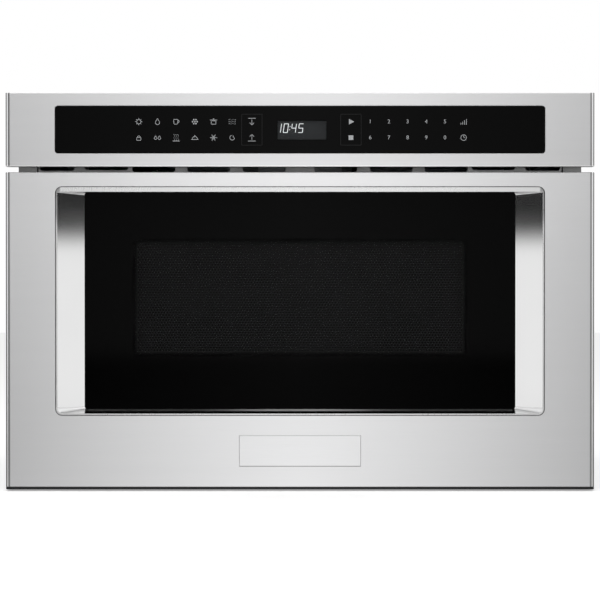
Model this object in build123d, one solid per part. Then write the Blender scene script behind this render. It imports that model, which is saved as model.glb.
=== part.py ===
from build123d import *
import os
from math import acos, ceil, cos, floor, pi, radians, sin, tan

# A built-in microwave drawer. Its whole front pulls out with the food basket behind it.
# Millimetres, +Z up. The front faces -Y and X runs to the right of a person facing it.
# The origin is under the middle of the overall box, on the surface the feet stand on.

# ---- Overall size ----------------------------------------------------------
front_width = 606.0
unit_height = 410.0
unit_depth = 625.0
front_lift = 1.6          # bottom of the drawer front above the resting surface
front_standoff = 39.0     # front face ahead of the cabinet face
badge_proud = 1.0
gland_proud = 8.0

face_y = -unit_depth / 2 + badge_proud
cabinet_y = face_y + front_standoff
rear_y = unit_depth / 2 - gland_proud

# ---- Front panels ----------------------------------------------------------
control_height = 76.0
panel_gap = 5.8
trim_height = 2.6
skin = 0.8
edge_bend = 4.0
rim_bend = 0.6            # outer round where the sheet turns over at its top and bottom
fit_gap = 0.2             # between a pressed panel and what it is pressed round
seat_gap = 0.1            # round a part that sits in another
press_gap = 0.02          # round a part that is pressed onto another
past = 1.0                # how far a cut reaches past what it cuts
flange_thickness = 1.5
drawer_clearance = 1.0    # closed drawer to the flange

control_bottom = unit_height - control_height
drawer_top = control_bottom - panel_gap
skin_bottom = front_lift + trim_height
flange_front = cabinet_y - flange_thickness
drawer_back = flange_front - drawer_clearance

# ---- Recess with the door glass --------------------------------------------
side_band = 51.0          # plain steel beside the recess and the control glass
recess_bottom = 77.6
recess_top_band = 14.5    # plain steel over the recess
recess_corner = 7.0
recess_depth = 20.5
recess_seam = 0.5
recess_wall = 1.2
rim_round = 0.5
lip_sheet = 1.0
lip_top = 5.1             # flat lip at the face, over the top wall
lip_bottom = 1.7
lip_corners = (6.0, 0.6)    # of the mouth's opening in the lip, below and above
lip_side = 1.0
side_slope = 29.2         # how far each side wall leans in, down to the glass
top_slope = 5.7
bottom_slope = 5.9
window_corner = 3.0
glass_thickness = 4.0
glass_overlap = 8.0
recess_width = front_width - 2 * side_band
recess_height = drawer_top - recess_top_band - recess_bottom
recess_centre_z = recess_bottom + recess_height / 2
window_width = recess_width - 2 * side_slope
window_height = recess_height - top_slope - bottom_slope
window_centre_z = recess_centre_z + (bottom_slope - top_slope) / 2
glass_front = face_y + recess_depth
glass_back = glass_front + glass_thickness

# ---- Door back: screen, plate, choke, inner glass --------------------------
screen_gap = 0.4
screen_sheet = 0.6
screen_width = 339.5
screen_height = 118.5
screen_margin = 10.0
screen_corner = 3.0
door_sheet = 1.0
choke_sheet = 0.8
choke_reach = 27.0        # choke beyond the mouth of the cavity, all round
choke_headroom = 4.0      # under the drawer's turned top edge
choke_cover_thickness = 1.0
inner_glass_thickness = 2.5
inner_glass_gap = 0.3
screen_front = glass_back + screen_gap
plate_front = screen_front + screen_sheet
plate_back = plate_front + door_sheet

badge_width = 125.7
badge_height = 32.5
badge_centre_z = 41.4
badge_corner = 1.0
badge_bevel = 0.8

# ---- Cavity and basket -----------------------------------------------------
basket_wall = 4.0
tray_thickness = 5.0
cavity_floor_z = 99.0
cavity_sheet = 0.8
side_clearance = 6.0
floor_clearance = 5.0
head_clearance = 5.5
rear_clearance = 10.0
stirrer_cover_thickness = 1.5
stirrer_space = 15.0
mouth_top_band = 29.2     # from the cavity's mouth up to the drawer's top edge
machinery_depth = 148.0   # behind the cavity, for the magnetron, the transformer and the fan
casing_inset = 26.5       # casing inside the front's edge, each side
wall_space = 46.5         # between the cavity and the outside of the casing

casing_half = front_width / 2 - casing_inset
cavity_half = casing_half - wall_space
basket_width = 2 * (cavity_half - side_clearance - basket_wall)
tray_bottom = cavity_floor_z + floor_clearance
tray_top = tray_bottom + tray_thickness
cover_top = drawer_top - mouth_top_band
cover_bottom = cover_top - stirrer_cover_thickness
basket_top = cover_bottom - head_clearance
screen_centre_z = (cavity_floor_z + cover_top) / 2
cavity_ceiling_z = cover_top + stirrer_space
basket_front = drawer_back - choke_cover_thickness / 2
cavity_rear = rear_y - machinery_depth
basket_rear = cavity_rear - rear_clearance - basket_wall

# ---- Casing ----------------------------------------------------------------
casing_sheet = 1.0
casing_drop = 40.0        # casing top under the control panel's top
foot_height = 4.0
foot_radius = 12.0
foot_chamfer = 0.8
foot_inset_x = 46.0
foot_inset_y = 42.0
base_sheet = 1.2
pan_flange = 12.0         # turned-in edge of the rear panel and top cover
casing_top = unit_height - casing_drop
base_top = foot_height + base_sheet
base_half = casing_half - casing_sheet
foot_x = casing_half - foot_inset_x

flange_reach = 15.5       # flange beyond the casing
ear_reach = 21.5
ear_height = 22.0
ear_root = 6.0
ear_corner = 3.0
hole_reach = 14.5
flange_width = 19.0
flange_bottom = 8.0
flange_leg = 12.0         # turned back along the casing
mount_hole_r = 2.25
mount_low_z = 60.0
mount_top_band = 28.2     # upper ears under the drawer's top edge
flange_outer = casing_half + flange_reach
flange_inner = flange_outer - flange_width
ear_outer = casing_half + ear_reach
mount_hole_x = casing_half + hole_reach
mount_high_z = drawer_top - mount_top_band

flange_seam = 1.5
front_plate_bottom = 70.0
grille_overlap = 6.2      # rail behind the drawer's top edge
grille_seam = 0.2
vent_rise = 0.6           # sill of the air outlets over the drawer's top edge
vent_height = 21.0
vent_corner = 3.0
vent_middle = 5.0
# Web, outlet and how far its sill is raised, from the end in.
vents = [(1.5, 36.2, 1.5), (10.4, 45.2, 2.1), (4.1, 44.7, 0.0), (12.4, 44.2, 0.0), (13.5, 44.7, 0.0)]
front_plate_half = flange_inner - flange_seam
grille_bottom = drawer_top - grille_overlap
vent_bottom = drawer_top + vent_rise

# ---- Control panel ---------------------------------------------------------
panel_glass_height = 48.6
panel_glass_corner = 3.0
panel_glass_thickness = 3.0
panel_glass_sunk = 0.3
glass_mouth_chamfer = 0.4
housing_wall = 2.0
housing_gap = 0.5
housing_depth = 25.0
ledge_height = 18.0
ledge_inset = 21.5
ledge_width = 24.0
cover_sheet = 0.8
board_inset = 12.0
board_height = 56.0
board_sheet = 1.6
board_standoff = 8.0
boss_radius = 3.0
display_width = 51.0
display_height = 20.0
display_centre_x = 2.0
display_drop = 0.5
display_play = 0.5
panel_glass_width = front_width - 2 * side_band
panel_glass_centre_z = control_bottom + control_height / 2
display_centre_z = panel_glass_centre_z - display_drop
board_half = panel_glass_width / 2 - board_inset
ledge_half = casing_half - ledge_inset
ledge_bottom = casing_top - ledge_height

# ---- Slides and sled -------------------------------------------------------
basket_kept = 37.0        # of the basket's depth, left inside when the drawer is open
slide_rear_space = 7.0
slide_centre_z = 42.0
slide_height = 46.0
slide_inset = 14.5
slide_outer_x = casing_half - slide_inset
slide_sheet = 1.2
slide_depth = 11.2
slide_front_gap = 2.0
slide_front = cabinet_y + slide_front_gap
slide_rear = cavity_rear - slide_rear_space
slide_length = slide_rear - slide_front
travel = basket_rear - basket_front - basket_kept
ball_radius = 1.6
ball_play = 0.15
ball_count = 6
cage_sheet = 0.6
cage_length = 200.0
cage_hole_play = 0.15
member_gap = 2.0          # between the webs of two nested members
inner_flange = 5.0
bracket_sheet = 1.5
bracket_foot = 10.0
sled_sheet = 1.5
sled_tab = 26.0
tie_height = 6.0
tie_depth = 12.0

# ---- Drive train -----------------------------------------------------------
rack_module = 1.5
pinion_teeth = 16
drive_module = 1.25
drive_teeth = 32
motor_teeth = 16
backlash = 0.25
dedendum = 1.25           # tooth depth under the pitch line, in modules
pressure_angle = 20.0
mesh_clearance = 0.12
pinion_inset = 24.5       # from the cabinet face back to the cross shaft
pinion_y = cabinet_y + pinion_inset
rack_pitch_z = 49.0
rack_body = 7.0
rack_front_gap = 2.0
tab_drop = 3.0            # top of the sled's tabs under the racks' pitch line
rack_width = 8.0
rack_end_margin = 9.0
gear_width = 7.0
shaft_radius = 4.0
shaft_play = 0.05
motor_shaft_radius = 3.0
sled_clearance = 0.6

# ---- Power parts at the rear -----------------------------------------------
fan_x = -150.0
fan_drop = 190.0
fan_z = casing_top - fan_drop
fan_radius = 56.0
fan_tip_gap = 4.0
fan_blades = 5
fan_pitch = 32.0
fan_hub_radius = 15.0
fan_hub_length = 16.0
shroud_half = 68.0
shroud_depth = 27.5
shroud_wall = 2.0
stirrer_radius = 85.0
stirrer_blades = 4
waveguide_half = 45.0
waveguide_height = 30.0
waveguide_sheet = 0.8
antenna_radius = 9.0
magnetron_rear_space = 69.5
magnetron_back_y = rear_y - magnetron_rear_space

# ---- Screws ----------------------------------------------------------------
screw_radius = 1.9
screw_play = 0.1
screw_head_radius = 3.8
screw_head_height = 1.7
screw_head_round = 1.02
screw_reach = 4.0


# ---- Shape helpers ---------------------------------------------------------
def block(x0, x1, y0, y1, z0, z1):
    """A box between two corners."""
    return Pos((x0 + x1) / 2, (y0 + y1) / 2, (z0 + z1) / 2) * Box(x1 - x0, y1 - y0, z1 - z0)


def rod_x(radius, x0, x1, y, z):
    """A round bar along X."""
    return Pos((x0 + x1) / 2, y, z) * Rot(0, 90, 0) * Cylinder(radius, x1 - x0)


def rod_y(radius, y0, y1, x, z):
    """A round bar along Y."""
    return Pos(x, (y0 + y1) / 2, z) * Rot(90, 0, 0) * Cylinder(radius, y1 - y0)


def rod_z(radius, z0, z1, x, y):
    """A round bar along Z."""
    return Pos(x, y, (z0 + z1) / 2) * Cylinder(radius, z1 - z0)


def rounded_block(width, height, centre_z, corner, y0, y1, centre_x=0.0):
    """A plate facing the front, with rounded corners, between two depths."""
    outline = RectangleRounded(width, height, corner)
    plate = extrude(Plane.XZ * outline, -(y1 - y0))
    return Pos(centre_x, y0, centre_z) * plate


def bent_front(half, y0, y1, z0, z1, bend, turns=()):
    """A block whose two upright front edges are rounded as bent sheet is; turns names ends, 0 the
    bottom and -1 the top, whose rim is turned over too."""
    body = block(-half, half, y0, y1, z0, z1)
    edges = body.edges().filter_by(Axis.Z).group_by(Axis.Y)[0]
    body = fillet(edges, bend)
    for end in turns:
        rim = [edge for edge in body.edges().group_by(Axis.Z)[end] if edge.center().Y < y1 - bend]
        body = fillet(rim, rim_bend)
    return body


def both_sides(shape):
    """The shape and its mirror image in the middle plane."""
    return [shape, mirror(shape, about=Plane.YZ)]


def gear(teeth, module, width, bore, phase, x0, y, z):
    """A spur gear on an X axis, with involute flanks; phase turns it, from +Y to +Z."""
    pitch = module * teeth / 2
    base = pitch * cos(radians(pressure_angle))
    tip = pitch + module
    root = pitch - dedendum * module
    half_pitch_angle = (pi * module / 2 - backlash) / (2 * pitch)
    pressure_involute = tan(radians(pressure_angle)) - radians(pressure_angle)

    def half_angle(radius):
        roll = acos(min(1.0, base / radius))
        return half_pitch_angle + pressure_involute - (tan(roll) - roll)

    low = max(base, root)
    flank = [(root, half_angle(low))]
    flank += [(low + (tip - low) * step / 4, half_angle(low + (tip - low) * step / 4)) for step in range(5)]
    points = []
    for tooth in range(teeth):
        middle = 2 * pi * tooth / teeth + radians(phase)
        points += [(r * cos(middle - a), r * sin(middle - a)) for r, a in flank]
        points += [(r * cos(middle + a), r * sin(middle + a)) for r, a in reversed(flank)]
    outline = make_face(Polyline(points, close=True)) - Circle(bore)
    return Pos(x0, y, z) * extrude(Plane.YZ * outline, width)


def screw(head_at, along):
    """A pan-head screw; its head's underside is at head_at and its shank runs along."""
    shank = Pos(0, 0, screw_reach / 2) * Cylinder(screw_radius, screw_reach)
    head = Pos(0, 0, -screw_head_height / 2) * Cylinder(screw_head_radius, screw_head_height)
    head = fillet(head.edges().group_by(Axis.Z)[0], screw_head_round)
    return Plane(origin=head_at, z_dir=along) * (shank + head)


def screw_hole(at, along):
    """The clearance hole for a screw, through the sheets it joins."""
    hole = Pos(0, 0, screw_reach / 2) * Cylinder(screw_radius + screw_play, screw_reach + 4 * past)
    return Plane(origin=at, z_dir=along) * hole


# ---- Screw places ----------------------------------------------------------
cover_flange_z = casing_top - pan_flange / 2 - casing_sheet / 2
rear_flange_y = rear_y - pan_flange / 2 - casing_sheet / 2
cover_screw_inset = 70.0
cover_screw_ys = [cabinet_y + cover_screw_inset, 0.0, rear_y - cover_screw_inset]
rear_screw_low = 40.0
rear_screw_drop = 50.0
rear_screw_high = casing_top - rear_screw_drop
rear_screw_zs = [rear_screw_low, (rear_screw_low + rear_screw_high) / 2, rear_screw_high]
cover_outer = casing_half + casing_sheet
tab_screw_inset = 10.0
tab_screw_pitch = 14.0


def cover_screws():
    """Where the screws sit that hold the top cover's side flanges, as (point, direction)."""
    places = []
    for side in (-1, 1):
        for y in cover_screw_ys:
            places.append(((side * cover_outer, y, cover_flange_z), (-side, 0, 0)))
    return places


def rear_screws():
    """Where the screws sit that hold the side panels to the rear panel's flanges."""
    places = []
    for side in (-1, 1):
        for z in rear_screw_zs:
            places.append(((side * casing_half, rear_flange_y, z), (-side, 0, 0)))
    return places


# ---- Casing ----------------------------------------------------------------
def base_plate():
    return block(-base_half, base_half, cabinet_y, rear_y, foot_height, base_top)


def feet():
    pads = []
    for y in (cabinet_y + foot_inset_y, rear_y - foot_inset_y):
        pad = rod_z(foot_radius, 0, foot_height, foot_x, y)
        pads += both_sides(chamfer(pad.edges().group_by(Axis.Z)[0], foot_chamfer))
    return pads


def side_panel(side):
    panel = block(base_half, casing_half, cabinet_y, rear_y, foot_height, casing_top - casing_sheet)
    if side < 0:
        panel = mirror(panel, about=Plane.YZ)
    for at, along in cover_screws() + rear_screws():
        panel -= screw_hole(at, along)
    return panel


def top_cover():
    cover = block(-cover_outer, cover_outer, cabinet_y, rear_y, casing_top - pan_flange, casing_top)
    cover -= block(-casing_half, casing_half, cabinet_y - past, rear_y + past, 0, casing_top - casing_sheet)
    for at, along in cover_screws():
        cover -= screw_hole(at, along)
    return cover


inlet_inset = 61.5
inlet_x = casing_half - inlet_inset
inlet_z = 60.0
inlet_radius = 9.0
cord_radius = 4.5
intake_slot = 4.0
intake_corner = intake_slot / 2 - 0.01
intake_pitch = 9.0
intake_length = 50.0
intake_rows = 12
outlet_x = 150.0
outlet_rows = 5
outlet_drop = 70.0
outlet_z = casing_top - outlet_drop


def slot_field(centre_x, centre_z, rows, columns):
    """Rows of rounded air slots through the rear panel."""
    slots = []
    for row in range(rows):
        for column in range(columns):
            x = centre_x + (column - (columns - 1) / 2) * (intake_length + intake_pitch)
            z = centre_z + (row - (rows - 1) / 2) * intake_pitch
            slots.append(rounded_block(intake_length, intake_slot, z, intake_corner,
                                       rear_y - casing_sheet - past, rear_y + past, x))
    return slots


def rear_panel():
    half = base_half - seat_gap
    low = base_top
    high = casing_top - casing_sheet
    panel = block(-half, half, rear_y - pan_flange, rear_y, low, high)
    inside_low = low + casing_sheet
    inside_high = high - casing_sheet
    inside_half = half - casing_sheet
    panel -= block(-inside_half, inside_half, 0, rear_y - casing_sheet, inside_low, inside_high)
    panel -= rod_y(inlet_radius, rear_y - casing_sheet - past, rear_y + past, inlet_x, inlet_z)
    for slot in slot_field(fan_x, fan_z, intake_rows, 2) + slot_field(outlet_x, outlet_z, outlet_rows, 2):
        panel -= slot
    for at, along in rear_screws():
        panel -= screw_hole(at, along)
    return panel


gland_collar = 4.0
gland_lip = 3.0
gland_depth = 5.0


def cord_gland():
    """The bush that a supply cord comes out of, held in the rear panel by its two collars."""
    neck = rod_y(inlet_radius - seat_gap, rear_y - casing_sheet, rear_y, inlet_x, inlet_z)
    outer = Plane(origin=(inlet_x, rear_y, inlet_z), z_dir=(0, 1, 0)) * Cone(
        inlet_radius + gland_collar, inlet_radius, gland_proud,
        align=(Align.CENTER, Align.CENTER, Align.MIN))
    inner = rod_y(inlet_radius + gland_lip, rear_y - casing_sheet - gland_depth, rear_y - casing_sheet,
                  inlet_x, inlet_z)
    bore = rod_y(cord_radius, rear_y - unit_depth, rear_y + unit_depth, inlet_x, inlet_z)
    return neck + outer + inner - bore


def mounting_flanges():
    """Angles at the casing's sides whose strips lie on the cabinet face, with ears for the wood screws."""
    strip = block(flange_inner, flange_outer, flange_front, cabinet_y, flange_bottom, casing_top)
    strip += block(cover_outer, cover_outer + flange_thickness, cabinet_y, cabinet_y + flange_leg,
                   flange_bottom, casing_top)
    ear_inner = flange_outer - ear_root
    for z in (mount_low_z, mount_high_z):
        strip += rounded_block(ear_outer - ear_inner, ear_height, z, ear_corner, flange_front, cabinet_y,
                               (ear_inner + ear_outer) / 2)
        strip -= rod_y(mount_hole_r, flange_front - 2 * past, cabinet_y + 2 * past, mount_hole_x, z)
    return both_sides(strip)


def vent_grille():
    """The rail over the cavity with the row of air outlets seen in the gap."""
    rail = block(-front_plate_half, front_plate_half, flange_front, cabinet_y, grille_bottom, casing_top)
    centre = vent_bottom + vent_height / 2
    high = front_plate_half
    for web, width, sill in vents:
        high -= web
        if high - width > vent_middle:
            outlet = rounded_block(width, vent_height - sill, centre + sill / 2, vent_corner,
                                   flange_front - 2 * past, cabinet_y + 2 * past, high - width / 2)
            for hole in both_sides(outlet):
                rail -= hole
        high -= width
    return rail


# ---- Cavity ----------------------------------------------------------------
def cavity_front_plate():
    high = grille_bottom - grille_seam
    plate = block(-front_plate_half, front_plate_half, flange_front, cabinet_y, front_plate_bottom, high)
    return plate - block(-cavity_half, cavity_half, flange_front - past, cabinet_y + past,
                         cavity_floor_z, cover_top)


def cavity_floor():
    low = cavity_floor_z - cavity_sheet
    return block(-cavity_half, cavity_half, cabinet_y, cavity_rear, low, cavity_floor_z)


aperture_radius = 26.0
lamp_y = 60.0
lamp_drop = 49.0
lamp_z = cover_top - lamp_drop
lamp_hole = 1.5
lamp_pitch = 5.0
lamp_half = 17.0
lamp_depth = 22.0
lamp_shell = 2.0
bulb_radius = 8.0
bulb_round = 5.6


def cavity_ceiling():
    high = cavity_ceiling_z + cavity_sheet
    sheet = block(-cavity_half, cavity_half, cabinet_y, cavity_rear, cavity_ceiling_z, high)
    return sheet - rod_z(aperture_radius, cavity_ceiling_z - past, high + past, 0, 0)


def cavity_walls():
    """The two side walls and the rear wall; fine holes let the lamp's light through one side."""
    low = cavity_floor_z - cavity_sheet
    high = cavity_ceiling_z + cavity_sheet
    outer = cavity_half + cavity_sheet
    right, left = both_sides(block(cavity_half, outer, cabinet_y, cavity_rear, low, high))
    for row in range(-2, 3):
        for column in range(-2, 3):
            right -= rod_x(lamp_hole, cavity_half - past, cavity_half + 2 * past, lamp_y + row * lamp_pitch,
                           lamp_z + column * lamp_pitch)
    rear = block(-outer, outer, cavity_rear, cavity_rear + cavity_sheet, low, high)
    return [right, left, rear]


def stirrer_cover():
    """The microwave-clear plate that hides the stirrer from the food."""
    half = cavity_half - seat_gap
    return block(-half, half, cabinet_y, cavity_rear - seat_gap, cover_bottom, cover_top)


# ---- Microwave source ------------------------------------------------------
duct_low = cavity_ceiling_z + cavity_sheet
duct_high = duct_low + waveguide_height
duct_front = -waveguide_half
magnetron_space = 7.0     # between the magnetron and the cavity's rear wall
magnetron_front_y = cavity_rear + cavity_sheet + magnetron_space
antenna_y = (magnetron_front_y + magnetron_back_y) / 2
stirrer_shaft_radius = 3.0
stirrer_shaft_play = 0.6
antenna_play = 0.4
stirrer_hub_radius = 11.0
stirrer_vane_root = 8.0
stirrer_vane_half = 14.0
stirrer_sheet = 1.2
stirrer_vane_tilt = 9.0
stirrer_motor_radius = 24.0
stirrer_motor_height = 18.0
stirrer_motor_round = 2.0
stirrer_bore_depth = 9.0


def waveguide():
    half = waveguide_half + waveguide_sheet
    back = magnetron_back_y + waveguide_sheet
    duct = block(-half, half, duct_front - waveguide_sheet, back, duct_low, duct_high)
    duct -= block(-waveguide_half, waveguide_half, duct_front, magnetron_back_y,
                  duct_low + waveguide_sheet, duct_high - waveguide_sheet)
    duct -= rod_z(aperture_radius, duct_low - past, duct_low + 2 * past, 0, 0)
    duct -= rod_z(antenna_radius + antenna_play, duct_low - past, duct_low + 2 * past, 0, antenna_y)
    duct -= rod_z(stirrer_shaft_radius + stirrer_shaft_play, duct_high - 2 * past, duct_high + past, 0, 0)
    return duct


magnetron_half = 42.0
fin_inset = 1.0
filter_inset_y = 4.0
yoke_height = 72.0
yoke_sheet = 2.0
tube_radius = 20.0
fin_count = 9
fin_pitch = 5.5
fin_sheet = 0.8
fin_start = 14.0
filter_height = 34.0
filter_inset = 12.0
antenna_gap = 7.0


def magnetron():
    """Yoke with cooling fins, filter box under it and antenna above it."""
    half = magnetron_half
    inner = half - yoke_sheet
    low = duct_low - yoke_height
    yoke = block(-half, half, magnetron_front_y, magnetron_back_y, low, duct_low)
    yoke -= block(-inner, inner, magnetron_front_y - past, magnetron_back_y + past, low + yoke_sheet,
                  duct_low - yoke_sheet)
    tube = rod_z(tube_radius, low + yoke_sheet, duct_low - yoke_sheet, 0, antenna_y)
    fins = []
    for index in range(fin_count):
        z = low + fin_start + index * fin_pitch
        fin = block(-inner, inner, magnetron_front_y + fin_inset, magnetron_back_y - fin_inset,
                    z, z + fin_sheet)
        fins.append(fin - rod_z(tube_radius + press_gap, z - past, z + fin_sheet + past, 0, antenna_y))
    box = block(-half + filter_inset, half - filter_inset, magnetron_front_y + filter_inset_y,
                magnetron_back_y - filter_inset_y,
                low - filter_height, low)
    antenna = rod_z(antenna_radius, duct_low, duct_high - antenna_gap, 0, antenna_y)
    antenna = fillet(antenna.edges().group_by(Axis.Z)[-1], antenna_radius / 2)
    return [yoke, tube, box, antenna] + fins


def stirrer_motor():
    can = rod_z(stirrer_motor_radius, duct_high, duct_high + stirrer_motor_height, 0, 0)
    can = fillet(can.edges().group_by(Axis.Z)[-1], stirrer_motor_round)
    can -= rod_z(stirrer_shaft_radius + shaft_play, duct_high - past, duct_high + stirrer_bore_depth, 0, 0)
    return can


def stirrer_blade():
    """Four bent vanes on a shaft that hangs from the motor through the waveguide."""
    blade_z = (cover_top + cavity_ceiling_z) / 2
    shaft = rod_z(stirrer_shaft_radius, blade_z, duct_high + stirrer_bore_depth - 1, 0, 0)
    blade = shaft + rod_z(stirrer_hub_radius, blade_z - 1, blade_z + 1, 0, 0)
    for index in range(stirrer_blades):
        vane = block(stirrer_vane_root, stirrer_radius, -stirrer_vane_half, stirrer_vane_half,
                     -stirrer_sheet / 2, stirrer_sheet / 2)
        angle = 360 / stirrer_blades * index
        blade += Pos(0, 0, blade_z) * Rot(0, 0, angle) * Rot(stirrer_vane_tilt, 0, 0) * vane
    return blade


def cavity_lamp():
    wall = cavity_half + cavity_sheet
    inner = lamp_half - lamp_shell
    back = wall + lamp_depth - lamp_shell
    socket = block(wall, wall + lamp_depth, lamp_y - lamp_half, lamp_y + lamp_half,
                   lamp_z - lamp_half, lamp_z + lamp_half)
    socket -= block(wall - past, back, lamp_y - inner, lamp_y + inner, lamp_z - inner, lamp_z + inner)
    bulb = rod_x(bulb_radius, wall + lamp_shell * 2, back, lamp_y, lamp_z)
    return [socket, fillet(bulb.edges().group_by(Axis.X)[0], bulb_round)]


cutout_radius = 7.0
cutout_height = 8.0
cutout_ear = 12.0
cutout_x = -110.0


def thermal_cutouts():
    """Two snap discs: one on the cavity's ceiling and one on the magnetron."""
    low = cavity_ceiling_z + cavity_sheet
    half = cutout_radius / 2
    y = lamp_y
    on_cavity = rod_z(cutout_radius, low, low + cutout_height, cutout_x, y)
    on_cavity += block(cutout_x - cutout_ear, cutout_x + cutout_ear, y - half, y + half, low, low + past)
    side = magnetron_half
    z = duct_low - yoke_height / 2
    on_tube = rod_x(cutout_radius, side, side + cutout_height, antenna_y, z)
    on_tube += block(side, side + past, antenna_y - cutout_ear, antenna_y + cutout_ear, z - half, z + half)
    return [on_cavity, on_tube]


transformer_inset = 126.5
transformer_x = casing_half - transformer_inset
core_half = 45.0
core_depth = 75.0
core_rear_space = 34.5
core_rear = rear_y - core_rear_space
core_front = core_rear - core_depth
core_yoke = 18.0
core_foot = 2.0
core_foot_reach = 10.0
core_height = 76.0
core_leg = 17.0
window_half = core_half - core_leg
winding_play = 0.3
winding_overhang = 15.0


def power_transformer():
    """Laminated core on its foot plate, with the windings through the core's window."""
    foot_top = base_top + core_foot
    reach = core_half + core_foot_reach
    foot = block(transformer_x - reach, transformer_x + reach, core_front, core_rear, base_top, foot_top)
    core = block(transformer_x - core_half, transformer_x + core_half, core_front, core_rear,
                 foot_top, foot_top + core_height)
    window_low = foot_top + core_yoke
    window_high = foot_top + core_height - core_yoke
    core -= block(transformer_x - window_half, transformer_x + window_half, core_front - past,
                  core_rear + past, window_low, window_high)
    half = window_half - winding_play
    winding = block(transformer_x - half, transformer_x + half, core_front - winding_overhang,
                    core_rear + winding_overhang, window_low, window_high - winding_play)
    return [foot, core, fillet(winding.edges().filter_by(Axis.Z), winding_overhang / 2)]


can_x = 20.0
can_rear_space = 64.5
can_y = rear_y - can_rear_space
can_width = 56.0
can_depth = 34.0
can_height = 88.0
strap_sheet = 1.2
strap_height = 12.0
terminal_height = 9.0
terminal_sheet = 1.0
terminal_width = 6.0
diode_radius = 3.5
can_foot_reach = 6.0
can_foot = 1.0


def oval(width, depth, z, height):
    """An upright oval bar round the capacitor's middle."""
    outline = RectangleRounded(width, depth, depth / 2 - seat_gap)
    return extrude(Pos(can_x, can_y, z) * outline, height)


def high_voltage_capacitor():
    """An oval can in its strap, with the diode on its terminals."""
    reach = can_width / 2 + can_foot_reach
    low = base_top + can_foot
    foot = block(can_x - reach, can_x + reach, can_y - can_depth / 2, can_y + can_depth / 2, base_top, low)
    top = low + can_height
    can = oval(can_width, can_depth, low, can_height)
    strap_z = low + can_height / 3
    strap = oval(can_width + 2 * strap_sheet, can_depth + 2 * strap_sheet, strap_z, strap_height)
    strap -= oval(can_width + 2 * press_gap, can_depth + 2 * press_gap, strap_z - past,
                  strap_height + 2 * past)
    tabs = []
    for side in (-1, 1):
        x = can_x + side * can_width / 5
        tabs.append(block(x - terminal_width / 2, x + terminal_width / 2, can_y, can_y + terminal_sheet,
                          top, top + terminal_height))
    diode = rod_x(diode_radius, can_x - can_width / 5, can_x + can_width / 5, can_y,
                  top + terminal_height + diode_radius)
    return [can, strap, foot, diode] + tabs


filter_board_width = 110.0
filter_board_tall = 62.0
filter_board_drop = 18.0
filter_board_inset = 26.5
filter_standoff = 8.0
filter_post_inset = 6.0
filter_post_radius = 3.0
filter_coil_radius = 15.0
filter_part_depth = 16.0
filter_part_width = 24.0
filter_part_foot = 14.0
filter_part_inset = 10.0
suppressor_height = 18.0
filter_relay_height = 26.0
fuse_drop = 12.0


def noise_filter_board():
    """Board on stand-offs inside the rear panel, with its choke coil, capacitor, relay and fuse."""
    back = rear_y - casing_sheet - filter_standoff
    left = -casing_half + filter_board_inset
    right = left + filter_board_width
    top = casing_top - filter_board_drop
    low = top - filter_board_tall
    face = back - board_sheet
    board = block(left, right, face, back, low, top)
    posts = []
    for x in (left + filter_post_inset, right - filter_post_inset):
        for z in (low + filter_post_inset, top - filter_post_inset):
            posts.append(rod_y(filter_post_radius, back, back + filter_standoff, x, z))
    coil_x = left + filter_coil_radius * 2
    coil_z = (low + top) / 2
    coil = rod_y(filter_coil_radius, face - filter_part_depth, face, coil_x, coil_z)
    coil -= rod_y(filter_coil_radius / 2, face - 2 * filter_part_depth, face, coil_x, coil_z)
    part_x = coil_x + filter_coil_radius + filter_post_inset
    part_low = low + filter_part_foot
    suppressor = block(part_x, part_x + filter_part_width, face - filter_part_depth, face,
                       part_low, part_low + suppressor_height)
    fuse = rod_x(filter_post_radius, part_x, part_x + filter_part_width, face - filter_post_radius,
                 top - fuse_drop)
    relay_high = right - filter_part_inset
    relay = block(relay_high - filter_part_depth, relay_high, face - filter_part_depth, face,
                  part_low, part_low + filter_relay_height)
    return [board, coil, suppressor, fuse, relay] + posts


# ---- Cooling fan -----------------------------------------------------------
shroud_back = rear_y - casing_sheet
shroud_front = shroud_back - shroud_depth
fan_setback = 5.0
fan_front = shroud_front + fan_setback
fan_shaft_radius = 2.5
fan_hub_round = 3.0
fan_vane_root = 3.0       # of a vane inside the hub
fan_vane_sheet = 1.6
fan_vane_half = 13.0
fan_bore_depth = 14.0
bridge_depth = 4.0
bridge_half = 9.0
fan_stack_half = 30.0
fan_stack_depth = 22.0
fan_coil_half = 22.0
fan_coil_depth = 8.0
fan_cap_radius = 12.0


def fan_shroud():
    """Square duct on the rear panel with a round throat, and a bridge that carries the motor."""
    duct = block(fan_x - shroud_half, fan_x + shroud_half, shroud_front, shroud_back,
                 fan_z - shroud_half, fan_z + shroud_half)
    inner = shroud_half - shroud_wall
    duct -= block(fan_x - inner, fan_x + inner, shroud_front + shroud_wall, shroud_back + past,
                  fan_z - inner, fan_z + inner)
    duct -= rod_y(fan_radius + fan_tip_gap, shroud_front - past, shroud_back + past, fan_x, fan_z)
    duct += block(fan_x - inner, fan_x + inner, shroud_front - bridge_depth, shroud_front,
                  fan_z - bridge_half, fan_z + bridge_half)
    duct -= rod_y(fan_shaft_radius + past, shroud_front - 10, shroud_front + past, fan_x, fan_z)
    return duct


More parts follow.
